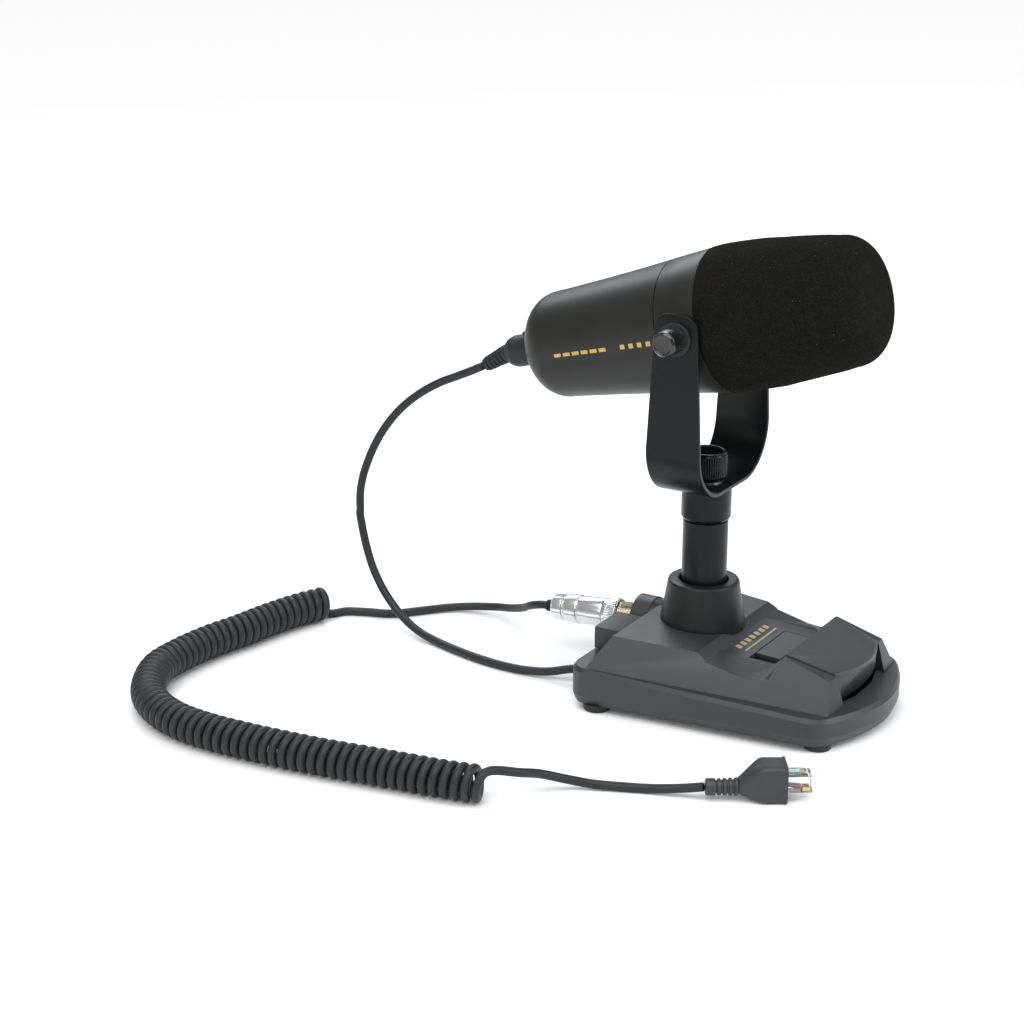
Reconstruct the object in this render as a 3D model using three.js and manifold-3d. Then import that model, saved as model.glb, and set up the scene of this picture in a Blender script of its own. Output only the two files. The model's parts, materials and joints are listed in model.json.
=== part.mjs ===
// Desk microphone for a radio transceiver: a barrel microphone in a yoke on a pole, a weighted
// base with a wide press-to-talk key and a lock slide, a lead from microphone to base, and a
// curly cord with a round eight-pin plug at the base and a modular plug at its far end.
// Millimetres, +Z up. The microphone and the key face -Y, the pole stands on X = 0.
import * as THREE from "three";
import { ConvexGeometry } from "three/addons/geometries/ConvexGeometry.js";
import { mergeVertices } from "three/addons/utils/BufferGeometryUtils.js";
import Module from "manifold-3d";

const wasm = await Module();
wasm.setup();

// ---------------------------------------------------------------- driving dimensions
const GAP = 0.3; // between pieces that are cut or turned next to each other

// base
const BASE_REAR_Y = 52;
const BASE_NOSE_Y = -116.5;
const BASE_REAR_HALF = 68;
const BASE_FRONT_HALF = 57.5;
const BASE_FRONT_Y = -88;
const BASE_REAR_RADIUS = 11;
const BASE_FRONT_RADIUS = 17;
const BASE_WALL = 2.4;
const SKIRT_BOTTOM_Z = 4;
const SKIRT_REAR_Z = 26;
const SKIRT_NOSE_Z = 19.5;
const SKIRT_TOP_INSET = 1.5;
const FOOT_HEIGHT = 4;
const FOOT_RADIUS = 8;
const FOOT_INSET = 13;
const PLATE_THICKNESS = 2;

// raised deck of the base
const DECK_REAR_FOOT_Y = 41;
const DECK_REAR_Y = 30;
const DECK_REAR_Z = 43.5;
const DECK_STEP_Y = -20;
const DECK_STEP_Z = 41.7;
const WELL_REAR_Y = -26;
const WELL_REAR_Z = 38;
const WELL_FRONT_Y = -60;
const WELL_FRONT_Z = 36;
const RAISED_REAR_HALF = 64;
const RAISED_FRONT_HALF = 46.5;
const RAISED_FRONT_Y = -100;
const RAISED_SIDE_SLOPE = 0.56;
const WELL_CROWN_HALF = 30;
const WELL_SIDE_DROP = 4.5;

// key and lock slide
const KEY_REAR_Y = -68.5;
const KEY_FRONT_Y = -95.5;
const KEY_NOSE_Y = -103.5;
const KEY_FOOT_Y = -99.5;
const KEY_REAR_HALF = 34.3;
const KEY_FRONT_HALF = 29.5;
const KEY_REAR_Z = 46.4;
const KEY_FRONT_Z = 38.5;
const KEY_BOTTOM_Z = 21.5;
const KEY_WALL = 2.4;
const KEY_SIDE_GAP = 0.8;
const KEY_HINGE_Y = -66;
const KEY_HINGE_Z = 27;
const KEY_PIN_RADIUS = 1.5;
const CHEEK_DROP = 1;
const SLIDE_HALF = 19.5;
const SLIDE_REAR_Y = -43.5;
const SLIDE_FRONT_Y = -58.5;
const SLIDE_TRAVEL = 8;
const SLIDE_THICKNESS = 2.6;

// pole and boot
const POLE_RADIUS = 13;
const POLE_WALL = 1.8;
const POLE_FOOT_Z = 20;
const POLE_TOP_Z = 103.7;
const COLLAR_RADIUS = 14.3;
const COLLAR_TOP_Z = 123.6;
const BOOT_FOOT_RADIUS = 24.5;
const BOOT_TOP_RADIUS = 19.8;
const BOOT_TOP_Z = 67.7;
const BOOT_WALL = 3;
const BOOT_BORE_CLEARANCE = 1;
const STUD_RADIUS = 4;

// yoke
const YOKE_HALF_WIDTH = 45.6;
const YOKE_SHEET = 2.5;
const YOKE_BEND_RADIUS = 30;
const YOKE_STRAP_HALF_LOW = 16.5;
const YOKE_STRAP_HALF_TOP = 12.6;
const YOKE_EAR_ABOVE_PIVOT = 13.5;
const YOKE_EAR_CORNER = 8;
const FRICTION_WASHER = 0.8;
const THUMB_NUT_RADIUS = 11.2;
const THUMB_NUT_HEIGHT = 16.5;

// microphone, measured along its own axis from the tilt pivot, towards the front
const PIVOT_Z = 219;
const REST_TILT = THREE.MathUtils.degToRad(15.5);
const REAR_END_S = -113.5;
const REAR_ROUND = 19;
const REAR_RADIUS = 31.5;
const SHELL_SEAM_S = -16;
const SHELL_SEAM_RADIUS = 38.2;
const SHELL_WALL = 2;
const RING_FRONT_S = 10;
const RING_FRONT_RADIUS = 40.8;
const FOAM_END_S = 99.5;
const FOAM_ROUND = 16;
const FOAM_WIDE_RADIUS = 41.5;
const FOAM_NOSE_RADIUS = 36;
const FOAM_THICKNESS = 8;
const GRILLE_WALL = 1;
const CAPSULE_RADIUS = 12.5;
const PIVOT_BOSS_RADIUS = 8.5;
const PIVOT_SCREW_RADIUS = 3;
const TILT_KNOB_RADIUS = 7.2;
const TILT_KNOB_END_X = 61;
const TILT_WASHER = 2;

// connectors and cords
const CORD_RADIUS = 2.5;
const COIL_RADIUS = 10.35;
const SOCKET_X = 8;
const SOCKET_Z = 32.5;
const SOCKET_DROOP = THREE.MathUtils.degToRad(4.8);
const SOCKET_RADIUS = 7.8;
const HOUSING_RADIUS = 13.5;
const LEAD_INLET = [-31, 9];

const COLOURS = {
  plastic: [0x2b2e31, 0.6, 0],
  shell: [0x1d1e1f, 0.45, 0],
  steel: [0x17191b, 0.35, 0.5],
  foam: [0x0c0c0c, 0.95, 0],
  rubber: [0x151515, 0.8, 0],
  nickel: [0xc9ccd0, 0.2, 1],
  brass: [0xb08d4a, 0.35, 1],
  zinc: [0x8d9094, 0.45, 1],
  cord: [0x232527, 0.6, 0],
  clear: [0xd8e2e6, 0.1, 0],
  board: [0x1f5a35, 0.6, 0],
};

// ---------------------------------------------------------------- geometry helpers

// A closed, outward-facing manifold solid from a three.js geometry.
function solid(geometry) {
  const bare = (geometry.index ? geometry.toNonIndexed() : geometry).clone();
  for (const name of Object.keys(bare.attributes)) {
    if (name !== "position") bare.deleteAttribute(name);
  }
  const merged = mergeVertices(bare, 1e-4);
  const make = (indices) =>
    new wasm.Manifold(
      new wasm.Mesh({
        numProp: 3,
        vertProperties: new Float32Array(merged.attributes.position.array),
        triVerts: new Uint32Array(indices),
      }),
    );
  const made = make(merged.index.array);
  if (made.volume() >= 0) return made;
  const flipped = Array.from(merged.index.array);
  for (let i = 0; i < flipped.length; i += 3) {
    [flipped[i + 1], flipped[i + 2]] = [flipped[i + 2], flipped[i + 1]];
  }
  return make(flipped);
}

function geometryOf(manifold) {
  const mesh = manifold.getMesh();
  const count = mesh.vertProperties.length / mesh.numProp;
  const positions = new Float32Array(count * 3);
  for (let i = 0; i < count; i += 1) {
    for (let k = 0; k < 3; k += 1) {
      positions[i * 3 + k] = mesh.vertProperties[i * mesh.numProp + k];
    }
  }
  const geometry = new THREE.BufferGeometry();
  geometry.setAttribute("position", new THREE.BufferAttribute(positions, 3));
  geometry.setIndex(Array.from(mesh.triVerts));
  geometry.computeVertexNormals();
  return geometry;
}

const union = (...parts) => parts.reduce((a, b) => a.add(b));
const cut = (body, ...tools) => tools.reduce((a, b) => a.subtract(b), body);

function block([x0, x1], [y0, y1], [z0, z1]) {
  const geometry = new THREE.BoxGeometry(x1 - x0, y1 - y0, z1 - z0);
  geometry.translate((x0 + x1) / 2, (y0 + y1) / 2, (z0 + z1) / 2);
  return solid(geometry);
}

// A profile of [radius, height] points turned about Z.
function turned(points, sides = 32) {
  const profile = points.map(([r, h]) => new THREE.Vector2(Math.max(r, 0), h));
  const geometry = new THREE.LatheGeometry(profile, sides);
  geometry.rotateX(Math.PI / 2);
  return solid(geometry);
}

// A round rod or tube about Z, from z0 to z1.
function rod(radius, z0, z1, bore = 0, sides = 32) {
  if (!bore) return turned([[0, z0], [radius, z0], [radius, z1], [0, z1]], sides);
  return turned([[bore, z0], [radius, z0], [radius, z1], [bore, z1], [bore, z0]], sides);
}

// Moves a body by a matrix: a rotation about one axis, a mirror or a shift.
const moved = (body, matrix) => solid(geometryOf(body).applyMatrix4(matrix));
const shifted = (body, [x, y, z]) => moved(body, new THREE.Matrix4().makeTranslation(x, y, z));
const mirrored = (body) => moved(body, new THREE.Matrix4().makeScale(-1, 1, 1));
const turnX = (body, angle) => moved(body, new THREE.Matrix4().makeRotationX(angle));

// Turns what was made about Z so that it lies along X or along Y, then moves it.
const alongX = (body, at = [0, 0, 0]) =>
  shifted(moved(body, new THREE.Matrix4().makeRotationY(Math.PI / 2)), at);
const alongY = (body, at = [0, 0, 0]) => shifted(turnX(body, -Math.PI / 2), at);

// A polygon in Y and Z carried along X from x0 to x1.
function slabX(points, x0, x1) {
  const shape = new THREE.Shape(points.map(([y, z]) => new THREE.Vector2(y, z)));
  const geometry = new THREE.ExtrudeGeometry(shape, { depth: x1 - x0, bevelEnabled: false });
  const swap = new THREE.Matrix4().set(0, 0, 1, x0, 1, 0, 0, 0, 0, 1, 0, 0, 0, 0, 0, 1);
  geometry.applyMatrix4(swap);
  return solid(geometry);
}

// A polygon in X and Z carried along Y from y0 to y1.
function slabY(points, y0, y1) {
  const shape = new THREE.Shape(points.map(([x, z]) => new THREE.Vector2(x, z)));
  const geometry = new THREE.ExtrudeGeometry(shape, { depth: y1 - y0, bevelEnabled: false });
  const swap = new THREE.Matrix4().set(1, 0, 0, 0, 0, 0, -1, y1, 0, 1, 0, 0, 0, 0, 0, 1);
  geometry.applyMatrix4(swap);
  return solid(geometry);
}

// A closed skin through rings of the same number of [x, y, z] points, with flat ends.
function loft(outlines) {
  const plan = outlines[0].map(([x, y]) => new THREE.Vector2(x, y));
  const turnedRight = THREE.ShapeUtils.area(plan) < 0;
  const rings = outlines.map((ring) => (turnedRight ? [...ring].reverse() : ring));
  const n = rings[0].length;
  const positions = rings.flat(2);
  const indices = [];
  for (let r = 0; r + 1 < rings.length; r += 1) {
    for (let i = 0; i < n; i += 1) {
      const a = r * n + i;
      const b = r * n + ((i + 1) % n);
      indices.push(a, b, b + n, a, b + n, a + n);
    }
  }
  const cap = THREE.ShapeUtils.triangulateShape(
    rings[0].map(([x, y]) => new THREE.Vector2(x, y)),
    [],
  );
  const last = (rings.length - 1) * n;
  for (const [a, b, c] of cap) {
    indices.push(a, c, b);
    indices.push(last + a, last + b, last + c);
  }
  const geometry = new THREE.BufferGeometry();
  geometry.setAttribute("position", new THREE.Float32BufferAttribute(positions, 3));
  geometry.setIndex(indices);
  return solid(geometry);
}

const hull = (points) => solid(new ConvexGeometry(points.map((p) => new THREE.Vector3(...p))));

// A round tube along a smooth curve through points, with its ends cut square.
function tubeAlong(points, radius, steps, sides) {
  const curve = new THREE.CatmullRomCurve3(
    points.map((p) => new THREE.Vector3(...p)),
    false,
    "centripetal",
  );
  const section = new THREE.Shape();
  section.absarc(0, 0, radius, 0, Math.PI * 2, false);
  const ring = new THREE.Shape(section.getSpacedPoints(sides).slice(0, sides));
  return new THREE.ExtrudeGeometry(ring, { steps, extrudePath: curve, bevelEnabled: false });
}

const lerp = THREE.MathUtils.lerp;
const object = new THREE.Group();

function add(parent, name, shape, [colour, roughness, metalness]) {
  const geometry = shape instanceof THREE.BufferGeometry ? shape : geometryOf(shape);
  const material = new THREE.MeshStandardMaterial({ color: colour, roughness, metalness });
  const mesh = new THREE.Mesh(geometry, material);
  mesh.name = name;
  parent.add(mesh);
  return mesh;
}

// ---------------------------------------------------------------- base

// Plan outline of the base, moved inwards by inset: rear corners, tapering sides, bowed nose.
function baseOutline(inset) {
  const points = [];
  const arc = (cx, cy, r, from, to, count) => {
    for (let i = 0; i <= count; i += 1) {
      const a = THREE.MathUtils.degToRad(lerp(from, to, i / count));
      points.push([cx + r * Math.cos(a), cy + r * Math.sin(a)]);
    }
  };
  const rear = BASE_REAR_RADIUS;
  const front = BASE_FRONT_RADIUS;
  const rearHalf = BASE_REAR_HALF - rear;
  const frontHalf = BASE_FRONT_HALF - front;
  arc(rearHalf, BASE_REAR_Y - rear, rear - inset, 90, -4, 5);
  arc(frontHalf, BASE_FRONT_Y, front - inset, -4, -66, 5);
  const bow = 5;
  const cornerY = BASE_FRONT_Y - (front - inset) * Math.sin(THREE.MathUtils.degToRad(66));
  const cornerX = frontHalf + (front - inset) * Math.cos(THREE.MathUtils.degToRad(66));
  for (let i = 1; i <= bow; i += 1) {
    const u = i / bow;
    points.push([cornerX * (1 - u), lerp(cornerY, BASE_NOSE_Y + inset, 1 - (1 - u) ** 2)]);
  }
  const left = points.slice(0, -1).map(([x, y]) => [-x, y]);
  return [...points, ...left.reverse()];
}

// Height of the skirt's top edge at a distance along the base.
const skirtTop = (y) => THREE.MathUtils.mapLinear(y, BASE_REAR_Y, BASE_NOSE_Y, SKIRT_REAR_Z, SKIRT_NOSE_Z);

function skirtBody(inset, z0, lowering) {
  const foot = baseOutline(inset + 2).map(([x, y]) => [x, y, z0]);
  const low = baseOutline(inset).map(([x, y]) => [x, y, z0 + 5]);
  const high = baseOutline(inset).map(([x, y]) => [x, y, skirtTop(y) - 2.5 - lowering]);
  const top = baseOutline(inset + SKIRT_TOP_INSET).map(([x, y]) => [x, y, skirtTop(y) - lowering]);
  return loft([foot, low, high, top]);
}

// Side view of the raised deck, [y, z]; drop lowers it to give the inner skin.
function deckProfile(drop) {
  return [
    [DECK_REAR_FOOT_Y - drop, 10],
    [DECK_REAR_FOOT_Y - drop, skirtTop(DECK_REAR_FOOT_Y)],
    [DECK_REAR_Y - drop, DECK_REAR_Z - drop],
    [DECK_STEP_Y, DECK_STEP_Z - drop],
    [WELL_REAR_Y, WELL_REAR_Z - drop],
    [WELL_FRONT_Y, WELL_FRONT_Z - drop],
    [RAISED_FRONT_Y + drop, skirtTop(RAISED_FRONT_Y) - drop],
    [RAISED_FRONT_Y + drop, 10],
  ];
}

// Half-width of the raised deck's foot at a distance along the base.
const sideFoot = (y) =>
  THREE.MathUtils.mapLinear(y, DECK_REAR_Y, RAISED_FRONT_Y, RAISED_REAR_HALF, RAISED_FRONT_HALF);

// Half-width of the raised deck's sloping side at a distance along the base and a height.
const sideAt = (y, z) => sideFoot(y) - RAISED_SIDE_SLOPE * Math.max(z - skirtTop(y), 0);

function raisedBody(inset) {
  const low = 10;
  const topZ = DECK_REAR_Z + 4;
  const rearY = DECK_REAR_FOOT_Y;
  const frontY = RAISED_FRONT_Y;
  const points = [];
  for (const side of [-1, 1]) {
    for (const y of [rearY, frontY]) {
      const foot = skirtTop(y);
      points.push([side * (sideAt(y, foot) - inset), y, low]);
      points.push([side * (sideAt(y, foot) - inset), y, foot]);
      points.push([side * (sideAt(y, topZ) - inset), y, topZ]);
    }
  }
  return hull(points).intersect(slabX(deckProfile(inset), -90, 90));
}

// What the recessed floor loses towards each side, where it falls away.
function floorFall(side, drop) {
  const plane = [
    [WELL_CROWN_HALF, WELL_REAR_Y, WELL_REAR_Z],
    [64, WELL_REAR_Y + 1, WELL_REAR_Z - 1],
    [64, WELL_FRONT_Y - 3, WELL_FRONT_Z - WELL_SIDE_DROP - 3],
    [WELL_CROWN_HALF, WELL_FRONT_Y - 3, WELL_FRONT_Z],
  ];
  const low = plane.map(([x, y, z]) => [side * x, y, z - drop]);
  return hull([...low, ...low.map(([x, y]) => [x, y, 70])]);
}

// Half-width of the key at a distance along the base, grown by a clearance.
const keyHalf = (y, grow) =>
  THREE.MathUtils.mapLinear(y, KEY_REAR_Y, KEY_FRONT_Y, KEY_REAR_HALF, KEY_FRONT_HALF) + grow;

// Height of the key's top at a distance along the base.
const keyTop = (y) => THREE.MathUtils.mapLinear(y, KEY_REAR_Y, KEY_FRONT_Y, KEY_REAR_Z, KEY_FRONT_Z);

// One of the two cheeks that stand beside the key.
function cheek(side) {
  const innerRear = keyHalf(KEY_REAR_Y, KEY_SIDE_GAP);
  const innerFront = keyHalf(KEY_FRONT_Y, KEY_SIDE_GAP);
  const frontY = RAISED_FRONT_Y;
  const cornerZ = KEY_FRONT_Z - CHEEK_DROP;
  const startY = WELL_FRONT_Y + 6;
  const startZ = WELL_FRONT_Z - WELL_SIDE_DROP + 0.6;
  const foot = skirtTop(frontY);
  return hull(
    [
      [innerRear - 1, KEY_REAR_Y, KEY_REAR_Z - CHEEK_DROP],
      [innerRear + 1.5, KEY_REAR_Y, KEY_REAR_Z - CHEEK_DROP],
      [innerFront - 1, frontY + 3, cornerZ],
      [sideAt(frontY, cornerZ) + 1, frontY + 4, cornerZ - 0.5],
      [innerRear - 1, WELL_FRONT_Y, WELL_FRONT_Z - 0.5],
      [sideAt(startY, startZ), startY, startZ],
      [sideFoot(startY) - 0.2, startY, skirtTop(startY) - 1],
      [innerRear - 1, WELL_FRONT_Y, 15],
      [sideFoot(WELL_FRONT_Y) - 4, WELL_FRONT_Y, 15],
      [innerFront - 1, frontY - 2, foot],
      [sideFoot(frontY), frontY, foot],
      [innerFront - 1, frontY - 2, 15],
      [sideFoot(frontY) - 2, frontY, 15],
    ].map(([x, y, z]) => [side * x, y, z]),
  );
}

// The space the key moves in, open at the top and through the skirt's top below it.
function keyWell() {
  const rear = WELL_FRONT_Y - 1;
  const ring = (y, z) => [side1(y, z), side2(y, z)];
  const side1 = (y, z) => [-keyHalf(y, KEY_SIDE_GAP), y, z];
  const side2 = (y, z) => [keyHalf(y, KEY_SIDE_GAP), y, z];
  const upper = [rear, KEY_NOSE_Y - 20].flatMap((y) => [...ring(y, skirtTop(y) + 0.01), ...ring(y, 60)]);
  const well = [];
  for (const y of [rear, KEY_FRONT_Y - 1]) {
    well.push(...ring(y, 10), ...ring(y, 60));
  }
  const nose = KEY_NOSE_Y + 2.5;
  well.push([-12, nose, 10], [12, nose, 10], [-12, nose, 60], [12, nose, 60]);
  return union(hull(upper), hull(well));
}

// Behind the deck: an upright block on the left, and the round housing of the radio socket.
function rearBlocks() {
  const depth = [DECK_REAR_Y, BASE_REAR_Y - 2];
  const height = [skirtTop(BASE_REAR_Y) + 1, DECK_REAR_Z - 3.5];
  const near = block([-38, SOCKET_X - 18], depth, height);
  const housing = alongY(rod(HOUSING_RADIUS, 34, 45, 0, 40), [SOCKET_X, 0, SOCKET_Z]);
  return union(near, housing);
}

// The bore of the housing, which goes on as a trough over the rear of the skirt.
function socketBay() {
  const bore = rod(HOUSING_RADIUS - 2.3, DECK_REAR_FOOT_Y - 3, 80, 0, 40);
  return alongY(bore, [SOCKET_X, 0, SOCKET_Z]);
}

function slidePocket() {
  const floor = WELL_FRONT_Z - 4.5;
  return block(
    [-SLIDE_HALF - SLIDE_TRAVEL - 1, SLIDE_HALF + 0.5],
    [SLIDE_FRONT_Y - 1.2, SLIDE_REAR_Y + 0.5],
    [floor, 60],
  );
}

const foundation = new THREE.Group();
object.add(foundation);

const poleBore = rod(POLE_RADIUS + 0.4, 0, 80, 0, 40);
const raised = cut(raisedBody(0), floorFall(-1, 0), floorFall(1, 0));
const outside = union(skirtBody(0, SKIRT_BOTTOM_Z, 0), raised, cheek(-1), cheek(1), rearBlocks());
const skirtInside = skirtBody(BASE_WALL, SKIRT_BOTTOM_Z - 3, BASE_WALL);
const deckInside = cut(
  raisedBody(BASE_WALL),
  floorFall(-1, BASE_WALL),
  floorFall(1, BASE_WALL),
  block([-90, 90], [-140, KEY_REAR_Y + 6], [0, 90]),
);
const leadHole = alongY(rod(4.3, -20, 20, 0, 20), [LEAD_INLET[0], BASE_REAR_Y, LEAD_INLET[1] + 1]);
const socketHole = alongY(rod(SOCKET_RADIUS + 0.4, -20, 60, 0, 28), [SOCKET_X, BASE_REAR_Y - 8, SOCKET_Z]);
const pocketShelf = block(
  [-SLIDE_HALF - SLIDE_TRAVEL - 3, SLIDE_HALF + 3],
  [SLIDE_FRONT_Y - 3, SLIDE_REAR_Y + 3],
  [WELL_FRONT_Z - 6.5, WELL_FRONT_Z - 0.8],
);
const slot = block([-14, 8], [SLIDE_REAR_Y - 10, SLIDE_REAR_Y - 6], [20, 40]);
const shell = cut(
  union(cut(outside, skirtInside, deckInside), pocketShelf),
  socketBay(),
  keyWell(),
  slidePocket(),
  slot,
  poleBore,
  leadHole,
  socketHole,
);
add(foundation, "base_shell", shell, COLOURS.plastic);

const footPlaces = [
  ["foot_rear_left", -BASE_REAR_HALF + FOOT_INSET - 5, BASE_REAR_Y - FOOT_INSET - 3],
  ["foot_rear_right", BASE_REAR_HALF - FOOT_INSET + 5, BASE_REAR_Y - FOOT_INSET - 3],
  ["foot_front_left", -BASE_FRONT_HALF + FOOT_INSET, BASE_FRONT_Y - 6],
  ["foot_front_right", BASE_FRONT_HALF - FOOT_INSET, BASE_FRONT_Y - 6],
];
const plateRing = baseOutline(BASE_WALL + 2 + GAP);
const plate = loft([
  plateRing.map(([x, y]) => [x, y, SKIRT_BOTTOM_Z]),
  plateRing.map(([x, y]) => [x, y, SKIRT_BOTTOM_Z + PLATE_THICKNESS]),
]);
const plateTop = SKIRT_BOTTOM_Z + PLATE_THICKNESS;
add(foundation, "bottom_plate", plate, COLOURS.steel);
for (const [name, x, y] of footPlaces) {
  const foot = turned(
    [
      [0, 0],
      [FOOT_RADIUS - 0.8, 0],
      [FOOT_RADIUS, 1],
      [FOOT_RADIUS, FOOT_HEIGHT],
      [0, FOOT_HEIGHT],
    ],
    24,
  );
  add(foundation, name, shifted(foot, [x, y, 0]), COLOURS.rubber);
}
const ballast = block([-44, 44], [-48, 22], [plateTop, plateTop + 11]);
const ballastBore = rod(POLE_RADIUS + 5, 0, 40);
add(foundation, "ballast_weight", ballast.subtract(ballastBore), COLOURS.zinc);

// Board under the deck with the key's switch on it.
const boardTop = plateTop + 4.6;
add(
  foundation,
  "circuit_board",
  block([-19, 19], [-84.8, -52], [boardTop - 1.6, boardTop]),
  COLOURS.board,
);
const switchHeight = 7;
const switchY = -81.5;
add(
  foundation,
  "key_switch",
  block([-6.5, 6.5], [switchY - 3, switchY + 3], [boardTop, boardTop + switchHeight]),
  COLOURS.rubber,
);
for (const side of [-1, 1]) {
  const post = rod(2.2, plateTop, boardTop - 1.6, 0, 16);
  const name = side < 0 ? "board_post_left" : "board_post_right";
  add(foundation, name, shifted(post, [side * 15, -69, 0]), COLOURS.brass);
}

// Hinge pin of the key, on two bearing blocks that stand on the bottom plate.
const pinHalf = 22.5;
for (const side of [-1, 1]) {
  const bearing = block(
    [side * pinHalf - 2, side * pinHalf + 2],
    [KEY_HINGE_Y - 4, KEY_HINGE_Y + 1.9],
    [plateTop, KEY_HINGE_Z + 2.2],
  );
  const bore = alongX(rod(KEY_PIN_RADIUS + 0.1, -40, 40, 0, 16), [0, KEY_HINGE_Y, KEY_HINGE_Z]);
  add(
    foundation,
    side < 0 ? "hinge_bearing_left" : "hinge_bearing_right",
    cut(bearing, bore),
    COLOURS.zinc,
  );
}
const pin = alongX(rod(KEY_PIN_RADIUS, -pinHalf - 2, pinHalf + 2, 0, 16), [0, KEY_HINGE_Y, KEY_HINGE_Z]);
add(foundation, "key_hinge_pin", pin, COLOURS.nickel);

// Return spring between the board and the key's roof.
const springY = -89.2;
const springTop = keyTop(springY) - KEY_WALL - GAP - 1.5;
const springTurns = 6;
const springPoints = [];
for (let i = 0; i <= springTurns * 8; i += 1) {
  const a = (i / 8) * Math.PI * 2;
  const z = lerp(plateTop + 0.8, springTop - 0.8, i / (springTurns * 8));
  springPoints.push([3.5 * Math.cos(a), springY + 3.5 * Math.sin(a), z]);
}
add(foundation, "key_return_spring", tubeAlong(springPoints, 0.5, 48, 5), COLOURS.nickel);

// ---------------------------------------------------------------- key and lock slide

function keyBody(shrink) {
  const half = (y) => keyHalf(y, -shrink);
  const noseArc = (middle, side, z) => {
    const points = [];
    for (let i = -3; i <= 3; i += 1) {
      const u = i / 3;
      const y = lerp(middle, side, u * u) + shrink;
      points.push([half(KEY_FRONT_Y) * u, y, z - shrink]);
    }
    return points;
  };
  const roof = hull([
    [-half(KEY_REAR_Y), KEY_REAR_Y - shrink, KEY_REAR_Z - shrink],
    [half(KEY_REAR_Y), KEY_REAR_Y - shrink, KEY_REAR_Z - shrink],
    [-half(WELL_FRONT_Y), WELL_FRONT_Y - 1.5 - shrink, WELL_FRONT_Z + 0.6 - shrink],
    [half(WELL_FRONT_Y), WELL_FRONT_Y - 1.5 - shrink, WELL_FRONT_Z + 0.6 - shrink],
    [-half(KEY_REAR_Y), WELL_FRONT_Y - 1.5 - shrink, KEY_BOTTOM_Z + 8],
    [half(KEY_REAR_Y), WELL_FRONT_Y - 1.5 - shrink, KEY_BOTTOM_Z + 8],
    ...noseArc(KEY_NOSE_Y + 0.9, KEY_FRONT_Y, KEY_FRONT_Z + 0.4),
    ...noseArc(KEY_NOSE_Y, KEY_FRONT_Y - 0.5, KEY_FRONT_Z - 2),
    ...noseArc(KEY_FOOT_Y, KEY_FRONT_Y - 0.5, KEY_BOTTOM_Z + shrink * 2),
  ]);
  return roof;
}

const key = new THREE.Group();
object.add(key);
const keyInside = keyBody(KEY_WALL).subtract(block([-90, 90], [-140, 0], [KEY_BOTTOM_Z + 40, 90]));
const keyOpen = block(
  [-KEY_FRONT_HALF + KEY_WALL + 1, KEY_FRONT_HALF - KEY_WALL - 1],
  [KEY_NOSE_Y + 10, WELL_FRONT_Y - 3.2],
  [0, KEY_BOTTOM_Z + 9],
);
const pinLug = (x) =>
  hull([
    [x - 2, KEY_HINGE_Y - 3.5, KEY_HINGE_Z - 3.5],
    [x + 2, KEY_HINGE_Y - 3.5, KEY_HINGE_Z - 3.5],
    [x - 2, KEY_HINGE_Y + 2, KEY_HINGE_Z - 3.5],
    [x + 2, KEY_HINGE_Y + 2, KEY_HINGE_Z - 3.5],
    [x - 2, KEY_HINGE_Y - 3.5, WELL_FRONT_Z],
    [x + 2, KEY_HINGE_Y - 3.5, WELL_FRONT_Z],
    [x - 2, KEY_HINGE_Y + 2, WELL_FRONT_Z],
    [x + 2, KEY_HINGE_Y + 2, WELL_FRONT_Z],
  ]);
const pinBore = alongX(rod(KEY_PIN_RADIUS + 0.1, -40, 40, 0, 16), [0, KEY_HINGE_Y, KEY_HINGE_Z]);
const pusher = block(
  [-3, 3],
  [switchY - 2, switchY + 2],
  [boardTop + switchHeight + 2, keyTop(switchY) - 1],
);
const keySolid = cut(
  union(cut(keyBody(0), keyInside, keyOpen), pinLug(-15), pinLug(15), pusher),
  pinBore,
);
add(key, "ptt_key", keySolid, COLOURS.plastic);

const slide = new THREE.Group();
object.add(slide);
const slideTop = (y) => THREE.MathUtils.mapLinear(y, WELL_REAR_Y, WELL_FRONT_Y, WELL_REAR_Z, WELL_FRONT_Z);
const slidePlate = slabX(
  [
    [SLIDE_REAR_Y, slideTop(SLIDE_REAR_Y) - SLIDE_THICKNESS],
    [SLIDE_REAR_Y, slideTop(SLIDE_REAR_Y)],
    [SLIDE_FRONT_Y, slideTop(SLIDE_FRONT_Y)],
    [SLIDE_FRONT_Y, slideTop(SLIDE_FRONT_Y) - SLIDE_THICKNESS],
  ],
  -SLIDE_HALF,
  SLIDE_HALF,
);
const slideFin = block([2, 6], [SLIDE_REAR_Y - 9.5, SLIDE_REAR_Y - 6.5], [25, WELL_FRONT_Z - 1]);
add(slide, "lock_slide", union(slidePlate, slideFin), COLOURS.plastic);

// ---------------------------------------------------------------- pole, boot and collar

const above = slabX(
  [...deckProfile(-GAP).slice(2, 6), [WELL_FRONT_Y, 90], [DECK_REAR_Y, 90]],
  -90,
  90,
);
const bootBore = POLE_RADIUS + BOOT_BORE_CLEARANCE;
const boot = turned(
  [
    [bootBore, 36],
    [BOOT_FOOT_RADIUS, 36],
    [BOOT_FOOT_RADIUS, DECK_REAR_Z],
    [BOOT_TOP_RADIUS + 0.8, BOOT_TOP_Z - 1.4],
    [BOOT_TOP_RADIUS, BOOT_TOP_Z],
    [bootBore, BOOT_TOP_Z],
    [bootBore, BOOT_TOP_Z - BOOT_WALL],
    [bootBore + 1.5, BOOT_TOP_Z - BOOT_WALL - 2],
    [bootBore + 1.5, DECK_REAR_Z + 3],
    [bootBore, DECK_REAR_Z + 1],
    [bootBore, 36],
  ],
  40,
);
add(foundation, "pole_boot", boot.intersect(above), COLOURS.plastic);
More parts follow.
